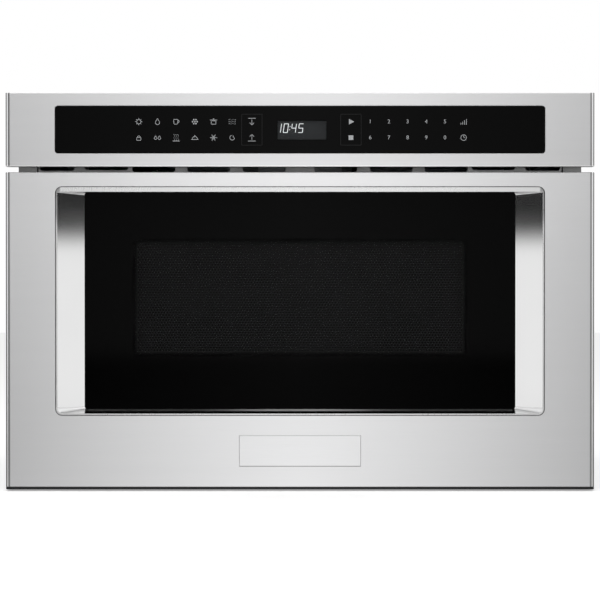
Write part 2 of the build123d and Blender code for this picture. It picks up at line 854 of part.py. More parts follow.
def fan_motor():
    """Laminated stack with its coil below the shaft and a bearing cap on it."""
    back = shroud_front - bridge_depth
    front = back - fan_stack_depth
    stack = block(fan_x - fan_stack_half, fan_x + fan_stack_half, front, back,
                  fan_z - fan_coil_half, fan_z + fan_coil_half)
    coil = block(fan_x - fan_coil_half, fan_x + fan_coil_half, front - fan_coil_depth, front,
                 fan_z - fan_stack_half, fan_z - fan_coil_depth / 2)
    cap = rod_y(fan_cap_radius, front - fan_coil_depth, front, fan_x, fan_z + bridge_half)
    bore = rod_y(fan_shaft_radius + shaft_play, back - fan_bore_depth, back + past, fan_x, fan_z)
    return [stack - bore, coil, cap]


def fan_blade():
    back = shroud_front - bridge_depth
    hub = rod_y(fan_hub_radius, fan_front, fan_front + fan_hub_length, fan_x, fan_z)
    hub = fillet(hub.edges().group_by(Axis.Y)[-1], fan_hub_round)
    wheel = hub + rod_y(fan_shaft_radius, back - fan_bore_depth + past, fan_front + 2 * past, fan_x, fan_z)
    vane = block(fan_hub_radius - fan_vane_root, fan_radius, -fan_vane_sheet / 2, fan_vane_sheet / 2,
                 -fan_vane_half, fan_vane_half)
    vane = Rot(fan_pitch, 0, 0) * vane
    trim = rod_y(fan_radius, fan_front, fan_front + fan_hub_length, 0, 0)
    for index in range(fan_blades):
        turned = Rot(0, 360 / fan_blades * index, 0) * Pos(0, fan_front + fan_hub_length / 2, 0) * vane
        wheel += Pos(fan_x, 0, fan_z) * (turned & trim)
    return wheel


exhaust_height = 26.0
exhaust_gap = 14.0
exhaust_inner_x = waveguide_half + waveguide_sheet + exhaust_gap
exhaust_overhang = 5.0
exhaust_outer_x = cavity_half + exhaust_overhang


def exhaust_duct():
    """The hood over the cavity that leads the warm air forward to the outlets."""
    high = duct_low + exhaust_height
    outer = block(exhaust_inner_x, exhaust_outer_x, cabinet_y, cavity_rear, duct_low, high)
    return outer - block(exhaust_inner_x + casing_sheet, exhaust_outer_x - casing_sheet, cabinet_y - past,
                         cavity_rear + past, duct_low - past, high - casing_sheet)


# ---- Control panel ---------------------------------------------------------
def control_fascia():
    half = front_width / 2
    body = bent_front(half, face_y, drawer_back, control_bottom, unit_height, edge_bend, turns=(0, -1))
    inner = bent_front(half - skin, face_y + skin, drawer_back + past, control_bottom + skin,
                       unit_height - skin, edge_bend - skin)
    opening = rounded_block(panel_glass_width + 2 * fit_gap, panel_glass_height + 2 * fit_gap,
                            panel_glass_centre_z, panel_glass_corner + fit_gap,
                            face_y - past, face_y + 2 * past)
    body = body - inner - opening
    mouth = [edge for edge in body.edges().group_by(Axis.Y)[0] if abs(edge.center().X) < half - edge_bend
             and abs(edge.center().Z - panel_glass_centre_z) < panel_glass_height / 2 + 1]
    return chamfer(mouth, glass_mouth_chamfer)


glass_panel_front = face_y + panel_glass_sunk
glass_panel_back = glass_panel_front + panel_glass_thickness
housing_back = glass_panel_back + housing_depth


def control_glass():
    return rounded_block(panel_glass_width, panel_glass_height, panel_glass_centre_z, panel_glass_corner,
                         glass_panel_front, glass_panel_back)


ledge_lap = 6.0
ledge_root = 4.0


def control_housing():
    """Moulded tray behind the glass; its ledges bolt to the rail with the air outlets."""
    half = front_width / 2 - skin - housing_gap
    low = control_bottom + skin + housing_gap
    high = unit_height - skin - housing_gap
    tray = block(-half, half, glass_panel_back, housing_back, low, high)
    tray -= block(-half + housing_wall, half - housing_wall, glass_panel_back + housing_wall,
                  housing_back + past, low + housing_wall, high - housing_wall)
    tray -= block(display_centre_x - display_width / 2, display_centre_x + display_width / 2,
                  glass_panel_back - past, glass_panel_back + housing_wall + past,
                  display_centre_z - display_height / 2, display_centre_z + display_height / 2)
    for x in board_post_xs():
        tray += rod_y(boss_radius, glass_panel_back + housing_wall, board_front(), x, panel_glass_centre_z)
    for side in (-1, 1):
        left = side * ledge_half - ledge_width / 2
        right = left + ledge_width
        tray += block(left, right, housing_back - ledge_lap, flange_front, ledge_bottom, casing_top)
        tray += block(left, right, glass_panel_back + past, housing_back,
                      ledge_bottom, ledge_bottom + ledge_root)
    return tray


cover_inset = 1.0


def control_cover():
    """The sheet that closes the housing from behind, over the casing's top edge as well."""
    half = front_width / 2 - skin - housing_gap - cover_inset
    low = control_bottom + skin + housing_gap + cover_inset
    high = unit_height - skin - housing_gap - cover_inset
    cover = block(-half, half, housing_back, housing_back + cover_sheet, low, high)
    for side in (-1, 1):
        x = side * ledge_half
        cover -= block(x - ledge_width / 2 - fit_gap, x + ledge_width / 2 + fit_gap, housing_back - past,
                       housing_back + 2 * past, ledge_bottom - fit_gap, casing_top + fit_gap)
    return cover


def board_front():
    return glass_panel_back + housing_wall + board_standoff


post_inset = 8.0


def board_post_xs():
    return [-board_half + post_inset, -board_half / 2, board_half / 2, board_half - post_inset]


relay_width = 18.0
relay_height = 14.0
relay_depth = 11.0
relay_pitch = 24.0
relay_end = 78.0          # first relay from the board's end
supply_width = 32.0
supply_height = 28.0
supply_depth = 12.0
supply_end = 106.0
plug_width = 22.0
plug_height = 8.0
plug_depth = 7.0
plug_pitch = 40.0
sounder_radius = 8.0
sounder_depth = 9.0
sounder_end = 68.0
board_margin = 6.0
board_lift = 2.0
board_end = 4.0


def control_board():
    """The circuit board with its relays, transformer, connectors and sounder."""
    low = panel_glass_centre_z - board_height / 2 + board_lift
    high = low + board_height
    half = board_half - board_end
    board = block(-half, half, board_front(), board_front() + board_sheet, low, high)
    face = board_front() + board_sheet
    foot = low + board_margin
    top = high - board_margin
    pieces = [board]
    for index in range(3):
        x = -half + relay_end + index * relay_pitch
        pieces.append(block(x, x + relay_width, face, face + relay_depth, foot, foot + relay_height))
        x = (index - 1.5) * plug_pitch
        pieces.append(block(x, x + plug_width, face, face + plug_depth, top - plug_height, top))
    x = half - supply_end
    pieces.append(block(x - supply_width, x, face, face + supply_depth, foot, foot + supply_height))
    pieces.append(rod_y(sounder_radius, face, face + sounder_depth, half - sounder_end,
                        top - sounder_radius))
    return pieces


def display_module():
    half = display_width / 2 - display_play
    tall = display_height / 2 - display_play
    return block(display_centre_x - half, display_centre_x + half, glass_panel_back + fit_gap, board_front(),
                 display_centre_z - tall, display_centre_z + tall)


# ---- Drawer front ----------------------------------------------------------
def drawer_skin():
    half = front_width / 2
    body = bent_front(half, face_y, drawer_back, skin_bottom, drawer_top, edge_bend, turns=(0, -1))
    inner = bent_front(half - skin, face_y + skin, drawer_back + past, skin_bottom + skin,
                       drawer_top - skin, edge_bend - skin)
    opening = rounded_block(recess_width, recess_height, recess_centre_z, recess_corner,
                            face_y - past, face_y + 2 * past)
    return body - inner - opening


def lower_trim():
    """The dark moulding under the stainless skin."""
    return bent_front(front_width / 2, face_y, drawer_back, front_lift, skin_bottom, edge_bend, turns=(0,))


def frame_section(y, half, low, high, corners, inset=0.0):
    """One outline of the recess frame, drawn in by an inset; corners are its radii below and above."""
    outline = Rectangle(2 * (half - inset), high - low - 2 * inset)
    for end, radius in zip((0, -1), corners):
        outline = fillet(outline.vertices().group_by(Axis.Y)[end], radius - inset)
    return Pos(0, y, (low + high) / 2) * (Plane.XZ * outline)


def recess_frame():
    """The polished surround: a flat lip at the face, then sides that slope back to the glass."""
    mouth_half = recess_width / 2 - recess_seam
    mouth_low = recess_centre_z - recess_height / 2 + recess_seam
    mouth_high = recess_centre_z + recess_height / 2 - recess_seam
    mouth_corners = (recess_corner - recess_seam, recess_corner - recess_seam)
    glass_half = window_width / 2
    glass_low = window_centre_z - window_height / 2
    glass_high = window_centre_z + window_height / 2
    lip_half = mouth_half - lip_side
    lip_low = mouth_low + lip_bottom
    lip_high = mouth_high - lip_top
    wall = recess_wall
    over = 1.0

    rim_back = face_y + rim_round
    outer = [frame_section(face_y, mouth_half, mouth_low, mouth_high, mouth_corners, rim_round),
             frame_section(rim_back, mouth_half, mouth_low, mouth_high, mouth_corners),
             frame_section(rim_back + lip_sheet, mouth_half, mouth_low, mouth_high, mouth_corners)]
    flange = loft(outer[:2], ruled=True) + loft(outer[1:], ruled=True)

    glass_corners = (window_corner, window_corner)
    bowl_front = frame_section(face_y, lip_half, lip_low, lip_high, lip_corners, -wall)
    bowl_back = frame_section(glass_front, glass_half, glass_low, glass_high, glass_corners, -wall)
    inside_front = frame_section(face_y, lip_half, lip_low, lip_high, lip_corners)
    inside_back = frame_section(glass_front, glass_half, glass_low, glass_high, glass_corners)
    ahead = extrude(inside_front, over)
    bowl = loft([bowl_front, bowl_back], ruled=True)
    hollow = loft([inside_front, inside_back], ruled=True)
    trimmed = bowl & block(-mouth_half, mouth_half, rim_back, glass_front, mouth_low, mouth_high)
    return flange + trimmed - hollow - ahead


def door_glass():
    return rounded_block(window_width + 2 * glass_overlap, window_height + 2 * glass_overlap,
                         window_centre_z, window_corner + glass_overlap / 2, glass_front, glass_back)


def window_screen():
    """The screening sheet behind the glass; its fine holes are far smaller than its other sizes."""
    return rounded_block(screen_width + 2 * screen_margin, screen_height + 2 * screen_margin,
                         screen_centre_z, screen_corner, screen_front, plate_front)


def tab_screws():
    """Where the sled's tabs are screwed to the drawer's back plate, as (x, z)."""
    places = []
    for column in range(2):
        x = sled_inner_x - tab_screw_inset + (0.5 - column) * tab_screw_pitch - tab_screw_inset / 2
        for row in range(2):
            z = sled_low + tab_screw_inset + row * tab_screw_pitch
            places += [(-x, z), (x, z)]
    return places


def ring(half_outer, low, high, wall, y0, y1):
    """A rectangular band standing on the door plate."""
    outer = block(-half_outer, half_outer, y0, y1, low, high)
    return outer - block(-half_outer + wall, half_outer - wall, y0 - past, y1 + past, low + wall, high - wall)


choke_back = drawer_back - choke_cover_thickness
choke_outer_half = cavity_half + choke_reach
choke_low = cavity_floor_z - choke_reach
choke_high = drawer_top - skin - choke_headroom
choke_inner_half = cavity_half + choke_sheet + inner_glass_gap
choke_inner_low = cavity_floor_z - choke_sheet - inner_glass_gap
choke_inner_high = cover_top + choke_sheet + inner_glass_gap


def door_frame():
    """The drawer's back plate, with its turned edge and the two bands of the choke channel."""
    half = front_width / 2 - skin - fit_gap
    low = skin_bottom + skin + fit_gap
    high = drawer_top - skin - fit_gap
    frame = block(-half, half, plate_front, plate_back, low, high)
    frame += ring(half, low, high, door_sheet, plate_back, choke_back)
    frame += ring(choke_outer_half, choke_low, choke_high, choke_sheet, plate_back, choke_back)
    frame += ring(choke_inner_half, choke_inner_low, choke_inner_high, choke_sheet, plate_back, choke_back)
    frame -= rounded_block(screen_width, screen_height, screen_centre_z, screen_corner,
                           plate_front - past, plate_back + past)
    for x, z in tab_screws():
        frame -= rod_y(screw_radius + screw_play, plate_front - past, plate_back + past, x, z)
    return frame


def choke_cover():
    """The plastic band that closes the choke channel."""
    outer = block(-choke_outer_half, choke_outer_half, choke_back, drawer_back, choke_low, choke_high)
    return outer - block(-choke_inner_half + choke_sheet, choke_inner_half - choke_sheet, choke_back - past,
                         drawer_back + past, choke_inner_low + choke_sheet, choke_inner_high - choke_sheet)


def inner_glass():
    """The pane that closes the drawer front towards the food."""
    half = choke_inner_half - choke_sheet - inner_glass_gap
    low = choke_inner_low + choke_sheet + inner_glass_gap
    high = choke_inner_high - choke_sheet - inner_glass_gap
    return block(-half, half, basket_front - inner_glass_thickness, basket_front, low, high)


def badge_plate():
    """A bare raised plate with bevelled edges."""
    plate = rounded_block(badge_width, badge_height, badge_centre_z, badge_corner,
                          face_y - badge_proud, face_y)
    return chamfer(plate.edges().group_by(Axis.Y)[0], badge_bevel)


# ---- Basket ----------------------------------------------------------------
def basket_walls():
    half = basket_width / 2
    side = block(half, half + basket_wall, basket_front, basket_rear + basket_wall, tray_top, basket_top)
    rear = block(-half, half, basket_rear, basket_rear + basket_wall, tray_top, basket_top)
    return both_sides(side) + [rear]


def glass_tray():
    half = basket_width / 2 + basket_wall
    return block(-half, half, basket_front, basket_rear + basket_wall, tray_bottom, tray_top)


# ---- Telescopic slides -----------------------------------------------------
slide_low = slide_centre_z - slide_height / 2
slide_high = slide_centre_z + slide_height / 2
ball_space = 2 * (ball_radius + ball_play)
slide_inner_x = slide_outer_x - slide_depth
cage_margin = (slide_length - travel / 2 - cage_length) / 2
cage_front = slide_front + travel / 4 + cage_margin


def channel(outer_x, inner_x, half_height, sheet, y0, y1):
    """A C-section along Y whose web is at outer_x and whose flanges reach to inner_x."""
    low = slide_centre_z - half_height
    high = slide_centre_z + half_height
    body = block(inner_x, outer_x, y0, y1, low, high)
    return body - block(inner_x - past, outer_x - sheet, y0 - past, y1 + past, low + sheet, high - sheet)


outer_half = slide_height / 2
middle_half = outer_half - slide_sheet - ball_space
inner_half = middle_half - slide_sheet - ball_space
middle_outer_x = slide_outer_x - slide_sheet - member_gap
outer_ball_z = outer_half - slide_sheet - ball_space / 2
inner_ball_z = middle_half - slide_sheet - ball_space / 2
outer_ball_x = (slide_inner_x + middle_outer_x) / 2
inner_ball_x = slide_inner_x + inner_flange / 2


def slide_outer_members():
    member = channel(slide_outer_x, slide_inner_x, outer_half, slide_sheet, slide_front, slide_rear)
    return both_sides(member)


def slide_middle_members():
    member = channel(middle_outer_x, slide_inner_x, middle_half, slide_sheet, slide_front, slide_rear)
    return both_sides(member)


def slide_inner_members():
    """The members on the drawer: C-sections whose webs face the sled."""
    low = slide_centre_z - inner_half
    high = slide_centre_z + inner_half
    body = block(slide_inner_x - slide_sheet, slide_inner_x + inner_flange, slide_front, slide_rear,
                 low, high)
    body -= block(slide_inner_x, slide_inner_x + inner_flange + past, slide_front - past, slide_rear + past,
                  low + slide_sheet, high - slide_sheet)
    return both_sides(body)


cage_clearance = 0.8
inner_cage_gap = 0.5


def ball_cage(web_x, ball_x, ball_z):
    """A thin C-shaped strip with its balls in rows along the top and bottom."""
    half = ball_z + cage_sheet / 2
    strip = channel(web_x, slide_inner_x + cage_clearance, half, cage_sheet,
                    cage_front, cage_front + cage_length)
    balls = []
    for index in range(ball_count):
        y = cage_front + cage_length * (index + 0.5) / ball_count
        for side in (-1, 1):
            z = slide_centre_z + side * ball_z
            strip -= rod_z(ball_radius + cage_hole_play, z - past, z + past, ball_x, y)
            balls.append(Pos(ball_x, y, z) * Sphere(ball_radius))
    pieces = []
    for piece in [strip] + balls:
        pieces += both_sides(piece)
    return pieces


def outer_ball_cages():
    web_x = slide_outer_x - slide_sheet - (member_gap - cage_sheet) / 2
    return ball_cage(web_x, outer_ball_x, outer_ball_z)


def inner_ball_cages():
    web_x = middle_outer_x - slide_sheet - inner_cage_gap
    return ball_cage(web_x, inner_ball_x, inner_ball_z)


def slide_brackets():
    """Angle brackets on the base that carry the outer members."""
    web = block(slide_outer_x, slide_outer_x + bracket_sheet, slide_front, slide_rear, base_top, slide_high)
    foot = block(slide_outer_x + bracket_sheet, slide_outer_x + bracket_sheet + bracket_foot,
                 slide_front, slide_rear, base_top, base_top + bracket_sheet)
    return both_sides(web + foot)


# ---- Sled, racks and latches on the drawer ---------------------------------
sled_outer_x = slide_inner_x - slide_sheet
sled_inner_x = sled_outer_x - sled_sheet
sled_margin = 2.0         # above and below the slides
sled_low = slide_low - sled_margin
sled_high = slide_high + sled_margin
rack_rear = pinion_y + travel + rack_end_margin
sled_overhang = 8.0       # behind the rack
sled_rear = rack_rear + sled_overhang
rack_root_z = rack_pitch_z + dedendum * rack_module
rack_top = rack_root_z + rack_body


def sled_rails():
    """Steel rails from the drawer front back under the cavity, tied at the rear."""
    rail = block(sled_inner_x, sled_outer_x, plate_back, sled_rear, sled_low, sled_high)
    tab = block(sled_inner_x - sled_tab, sled_inner_x, plate_back, plate_back + sled_sheet,
                sled_low, rack_pitch_z - tab_drop)
    for x, z in tab_screws():
        tab -= rod_y(screw_radius + screw_play, plate_front - past, plate_back + sled_sheet + past, x, z)
    tie = block(-sled_inner_x, sled_inner_x, sled_rear - tie_depth, sled_rear,
                sled_high - tie_height, sled_high)
    return both_sides(rail + tab) + [tie]


def rack_outline():
    """Side view of a rack with its teeth down; a gap stands over the pinion at rest."""
    pitch = pi * rack_module
    half_tooth = (pitch / 2 - backlash) / 2
    slope = tan(radians(pressure_angle))
    tip_z = rack_pitch_z - rack_module
    front = plate_back + sled_sheet + rack_front_gap
    first = ceil((front - pinion_y) / pitch)
    last = floor((rack_rear - pinion_y) / pitch) - 1
    points = [(front, rack_top), (front, rack_root_z)]
    for index in range(first, last + 1):
        middle = pinion_y + (index + 0.5) * pitch
        tip = half_tooth - rack_module * slope
        root = half_tooth + dedendum * rack_module * slope
        points += [(middle - root, rack_root_z), (middle - tip, tip_z)]
        points += [(middle + tip, tip_z), (middle + root, rack_root_z)]
    points += [(rack_rear, rack_root_z), (rack_rear, rack_top)]
    return make_face(Polyline(points, close=True))


def racks():
    bar = extrude(Plane.YZ * rack_outline(), rack_width)
    return both_sides(Pos(sled_inner_x - rack_width, 0, 0) * bar)


latch_inset = 48.1
latch_x = sled_inner_x - latch_inset
latch_half = 2.0
latch_low = 40.0
latch_high = 52.0
latch_nose = 4.0
latch_play = 1.5
holder_half = 11.0
holder_front_gap = 0.5
holder_gap = 2.0          # between a switch holder and the cross shaft behind it
holder_front = cabinet_y + holder_front_gap
holder_rear = pinion_y - shaft_radius - holder_gap
holder_rear_wall = 5.0
latch_rear = holder_rear - holder_rear_wall
latch_nose_length = 6.0
heel_reach = 5.0
heel_sheet = 2.0
heel_rise = 6.0
holder_top = latch_high + heel_rise
switch_width = 16.0
switch_height = 15.0
switch_inset = 1.0
switch_pitch = 21.0


def latch_hooks():
    """The two hooks on the drawer back that work the interlock switches."""
    outer = latch_x + latch_half
    inner = latch_x - latch_half
    bar = block(inner, outer, plate_back, latch_rear, latch_low + latch_nose, latch_high)
    nose = block(inner, outer, latch_rear - latch_nose_length, latch_rear, latch_low, latch_low + latch_nose)
    heel = block(inner - heel_reach, outer + heel_reach, plate_back, plate_back + heel_sheet,
                 latch_low, latch_high + heel_rise)
    return both_sides(bar + nose + heel)


def interlock_switches():
    """Switch holders on the base; each has a slot for its hook and two sealed switches beside it."""
    holder = block(latch_x - holder_half, latch_x + holder_half, holder_front, holder_rear,
                   base_top, holder_top)
    holder -= block(latch_x - latch_half - latch_play, latch_x + latch_half + latch_play,
                    holder_front - past, latch_rear + latch_play,
                    latch_low - latch_play, latch_high + latch_play)
    inner = latch_x - holder_half
    pieces = both_sides(holder)
    for row in range(2):
        low = latch_low + switch_inset - row * switch_pitch
        switch = block(inner - switch_width, inner, holder_front + switch_inset, holder_rear - switch_inset,
                       low, low + switch_height)
        pieces += both_sides(switch)
    return pieces


# ---- Drive train -----------------------------------------------------------
pinion_pitch = rack_module * pinion_teeth / 2
shaft_z = rack_pitch_z - pinion_pitch - mesh_clearance
centre_distance = drive_module * (drive_teeth + motor_teeth) / 2 + mesh_clearance
motor_gear_y = pinion_y + centre_distance
pinion_outer = sled_inner_x - sled_clearance
bearing_width = 6.0
bearing_gap = 0.5         # beside the pinion
bearing_x = pinion_outer - gear_width - bearing_gap - bearing_width
bearing_half = 13.0
bearing_rise = 12.0
gearbox_x = 12.0
gearbox_width = 44.0
gearbox_depth = 50.0
gearbox_rise = 20.0       # over the shaft's centre
gearbox_gap = 3.0
output_depth = 14.0
motor_can_radius = 17.0
motor_can_length = 60.0
motor_can_rise = 22.0
motor_can_round = 3.0


def drive_shaft():
    """The cross shaft with a pinion under each rack and the large gear in the middle."""
    bore = shaft_radius + press_gap
    shaft = rod_x(shaft_radius, -pinion_outer, pinion_outer, pinion_y, shaft_z)
    pinion = gear(pinion_teeth, rack_module, gear_width, bore, 90, pinion_outer - gear_width,
                  pinion_y, shaft_z)
    wheel = gear(drive_teeth, drive_module, gear_width, bore, 0, -gear_width / 2, pinion_y, shaft_z)
    return [shaft, wheel] + both_sides(pinion)


def motor_gear():
    """The small gear on the motor's output shaft."""
    phase = 180 / motor_teeth
    wheel = gear(motor_teeth, drive_module, gear_width, motor_shaft_radius, phase,
                 -gear_width / 2, motor_gear_y, shaft_z)
    return wheel + rod_x(motor_shaft_radius, -gear_width / 2, gearbox_x + output_depth,
                         motor_gear_y, shaft_z)


def shaft_bearings():
    pillar = block(bearing_x - bearing_width / 2, bearing_x + bearing_width / 2, pinion_y - bearing_half,
                   pinion_y + bearing_half, base_top, shaft_z + bearing_rise)
    pillar -= rod_x(shaft_radius + shaft_play, 0, bearing_x + bearing_width, pinion_y, shaft_z)
    return both_sides(pillar)


def drive_motor():
    """Gearbox on the base, with the motor can on its side."""
    front = pinion_y + shaft_radius + gearbox_gap
    side = gearbox_x + gearbox_width
    box = block(gearbox_x, side, front, front + gearbox_depth, base_top, shaft_z + gearbox_rise)
    box -= rod_x(motor_shaft_radius + shaft_play, gearbox_x - past, gearbox_x + output_depth + past,
                 motor_gear_y, shaft_z)
    can = rod_x(motor_can_radius, side, side + motor_can_length, front + gearbox_depth / 2,
                base_top + motor_can_rise)
    return [box, fillet(can.edges().group_by(Axis.X)[-1], motor_can_round)]


# ---- Screws ----------------------------------------------------------------
def housing_screws():
    return [screw(at, along) for at, along in cover_screws() + rear_screws()]


def drawer_screws():
    """The screws that hold the sled's tabs to the drawer's back plate."""
    return [screw((x, plate_back + sled_sheet, z), (0, -1, 0)) for x, z in tab_screws()]


nodes = {
    "base_plate": base_plate,
    "feet": feet,
    "side_panel_left": lambda: side_panel(-1),
    "side_panel_right": lambda: side_panel(1),
    "top_cover": top_cover,
    "rear_panel": rear_panel,
    "cord_gland": cord_gland,
    "mounting_flanges": mounting_flanges,
    "vent_grille": vent_grille,
    "cavity_front_plate": cavity_front_plate,
    "cavity_floor": cavity_floor,
    "cavity_ceiling": cavity_ceiling,
    "cavity_walls": cavity_walls,
    "stirrer_cover": stirrer_cover,
    "waveguide": waveguide,
    "magnetron": magnetron,
    "stirrer_motor": stirrer_motor,
    "stirrer_blade": stirrer_blade,
    "cavity_lamp": cavity_lamp,
    "thermal_cutouts": thermal_cutouts,
    "power_transformer": power_transformer,
    "high_voltage_capacitor": high_voltage_capacitor,
    "noise_filter_board": noise_filter_board,
    "fan_shroud": fan_shroud,
    "fan_motor": fan_motor,
    "fan_blade": fan_blade,
    "exhaust_duct": exhaust_duct,
    "control_fascia": control_fascia,
    "control_glass": control_glass,
    "control_housing": control_housing,
    "control_cover": control_cover,
    "control_board": control_board,
    "display_module": display_module,
    "drawer_skin": drawer_skin,
    "lower_trim": lower_trim,
    "recess_frame": recess_frame,
    "door_glass": door_glass,
    "window_screen": window_screen,
    "door_frame": door_frame,
    "choke_cover": choke_cover,
    "inner_glass": inner_glass,
    "badge_plate": badge_plate,
    "basket_walls": basket_walls,
    "glass_tray": glass_tray,
    "slide_outer_members": slide_outer_members,
    "slide_middle_members": slide_middle_members,
    "slide_inner_members": slide_inner_members,
    "outer_ball_cages": outer_ball_cages,
    "inner_ball_cages": inner_ball_cages,
    "slide_brackets": slide_brackets,
    "sled_rails": sled_rails,
    "racks": racks,
    "latch_hooks": latch_hooks,
    "interlock_switches": interlock_switches,
    "drive_shaft": drive_shaft,
    "motor_gear": motor_gear,
    "shaft_bearings": shaft_bearings,
    "drive_motor": drive_motor,
    "housing_screws": housing_screws,
    "drawer_screws": drawer_screws,
}

os.makedirs("parts", exist_ok=True)
for name, make in nodes.items():
    made = make()
    pieces = made if isinstance(made, list) else [made]
    solids = [solid for piece in pieces for solid in piece.solids()]
    export_step(Compound(solids) if len(solids) > 1 else solids[0], f"parts/{name}.step")
    print(name, len(solids), "solids")
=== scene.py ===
"""Finishes, prints, fasteners and studio for a built-in microwave drawer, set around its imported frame."""

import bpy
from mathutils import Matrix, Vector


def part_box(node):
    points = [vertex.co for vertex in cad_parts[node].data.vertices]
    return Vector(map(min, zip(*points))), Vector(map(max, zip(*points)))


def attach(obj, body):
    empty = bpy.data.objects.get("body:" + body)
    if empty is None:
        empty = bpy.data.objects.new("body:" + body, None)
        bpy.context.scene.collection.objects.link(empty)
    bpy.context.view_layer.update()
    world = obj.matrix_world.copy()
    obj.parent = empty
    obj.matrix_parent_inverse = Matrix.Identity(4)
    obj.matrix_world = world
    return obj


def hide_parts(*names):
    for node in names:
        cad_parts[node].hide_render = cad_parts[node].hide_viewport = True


bl_info = {
    "name": "Microwave Drawer Finishes",
    "version": (1, 0, 0),
    "blender": (4, 5, 0),
    "location": "View3D > Sidebar > Microwave Drawer",
    "description": "Dresses a built-in microwave drawer and lights it in a plain studio",
    "category": "Object",
}

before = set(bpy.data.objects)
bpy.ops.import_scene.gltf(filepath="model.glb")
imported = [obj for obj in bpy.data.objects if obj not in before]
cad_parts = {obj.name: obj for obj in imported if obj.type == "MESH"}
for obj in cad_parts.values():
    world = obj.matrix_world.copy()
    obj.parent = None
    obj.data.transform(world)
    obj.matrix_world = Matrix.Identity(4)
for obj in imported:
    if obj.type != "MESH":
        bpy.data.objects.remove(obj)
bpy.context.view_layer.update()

import math

import bmesh
import bpy
from mathutils import Matrix, Vector

# Points of a CAD mesh that are this close are one.
seam = 1e-6

# ---- Places taken from the frame -------------------------------------------
fascia_low, fascia_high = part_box("control_fascia")
glass_low, glass_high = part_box("control_glass")
display_low, display_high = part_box("display_module")
skin_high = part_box("drawer_skin")[1]
screen_low, screen_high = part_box("window_screen")
recess_low, recess_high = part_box("recess_frame")
face_y = fascia_low.y
half_width = fascia_high.x


# ---- Settings --------------------------------------------------------------
class SteelSettings(bpy.types.PropertyGroup):
    colour: bpy.props.FloatVectorProperty(
        name="Stainless colour", description="Colour of the brushed stainless sheet",
        subtype="COLOR", size=3, min=0, max=1, default=(0.70, 0.70, 0.705))
    grain_length: bpy.props.FloatProperty(
        name="Grain length", description="Length of a brush stroke in the sheet",
        unit="LENGTH", min=0.001, default=0.045)
    grain_width: bpy.props.FloatProperty(
        name="Grain width", description="Width of a brush stroke in the sheet",
        unit="LENGTH", min=0.00005, default=0.00045)
    roughness: bpy.props.FloatProperty(
        name="Roughness", description="How much the brushed sheet spreads a reflection",
        subtype="FACTOR", min=0, max=1, default=0.30)
    bend: bpy.props.FloatProperty(
        name="Bend", description="Width of the bent upright edges of the front panels",
        unit="LENGTH", min=0, default=0.004)


class PrintSettings(bpy.types.PropertyGroup):
    colour: bpy.props.FloatVectorProperty(
        name="Print colour", description="Colour of the marks and digits on the control glass",
        subtype="COLOR", size=3, min=0, max=1, default=(0.42, 0.43, 0.44))
    display_colour: bpy.props.FloatVectorProperty(
        name="Display colour", description="Colour of the lit digits",
        subtype="COLOR", size=3, min=0, max=1, default=(0.82, 0.85, 0.86))
    display_text: bpy.props.StringProperty(
        name="Display", description="Digits and colon that the display shows", default="10:45")
    digit_height: bpy.props.FloatProperty(
        name="Digit height", description="Height of the printed digits",
        unit="LENGTH", min=0.001, default=0.0041)
    mark_size: bpy.props.FloatProperty(
        name="Mark size", description="Width and height of a printed mark",
        unit="LENGTH", min=0.001, default=0.0072)
    stroke: bpy.props.FloatProperty(
        name="Stroke", description="Width of a printed line",
        unit="LENGTH", min=0.0001, default=0.00052)


class ScreenSettings(bpy.types.PropertyGroup):
    pitch: bpy.props.FloatProperty(
        name="Pitch", description="Distance between the holes of the window's screen",
        unit="LENGTH", min=0.001, default=0.003)
    hole: bpy.props.FloatProperty(
        name="Hole", description="Radius of a hole, to its corners",
        unit="LENGTH", min=0.0003, default=0.00118)
    window_width: bpy.props.FloatProperty(
        name="Window width", description="Width of the perforated area",
        unit="LENGTH", min=0.01, default=0.342)
    window_height: bpy.props.FloatProperty(
        name="Window height", description="Height of the perforated area",
        unit="LENGTH", min=0.01, default=0.118)


class ScrewSettings(bpy.types.PropertyGroup):
    head_radius: bpy.props.FloatProperty(
        name="Head radius", description="Radius of a screw's pan head",
        unit="LENGTH", min=0.001, default=0.0038)
    head_height: bpy.props.FloatProperty(
        name="Head height", description="Height of a screw's pan head",
        unit="LENGTH", min=0.0005, default=0.0017)
    shank_radius: bpy.props.FloatProperty(
        name="Shank radius", description="Radius of a screw's shank",
        unit="LENGTH", min=0.0005, default=0.0019)
    shank_length: bpy.props.FloatProperty(
        name="Shank length", description="Length of a screw under its head",
        unit="LENGTH", min=0.001, default=0.004)


class StudioSettings(bpy.types.PropertyGroup):
    camera_distance: bpy.props.FloatProperty(
        name="Camera distance", description="From the camera to the front face",
        unit="LENGTH", min=0.5, default=4.0)
    camera_rise: bpy.props.FloatProperty(
        name="Camera rise", description="Angle that the camera looks down at",
        subtype="ANGLE", default=math.radians(1.0))
    picture_width: bpy.props.FloatProperty(
        name="Picture width", description="Width of the picture at the front face",
        unit="LENGTH", min=0.1, default=0.61734)
    picture_centre: bpy.props.FloatProperty(
        name="Picture centre", description="Height of the picture's middle at the front face",
        unit="LENGTH", default=0.1968)
    fill_level: bpy.props.FloatProperty(
        name="Fill level", description="Strength of the soft light from all sides",
        min=0, default=0.62)
    key_power: bpy.props.FloatProperty(
        name="Key power", description="Power of the large soft light above the front",
        min=0, default=26.0)


SETTINGS = {
    "drawer_steel": SteelSettings,
    "drawer_print": PrintSettings,
    "drawer_screen": ScreenSettings,
    "drawer_screws": ScrewSettings,
    "drawer_studio": StudioSettings,
}


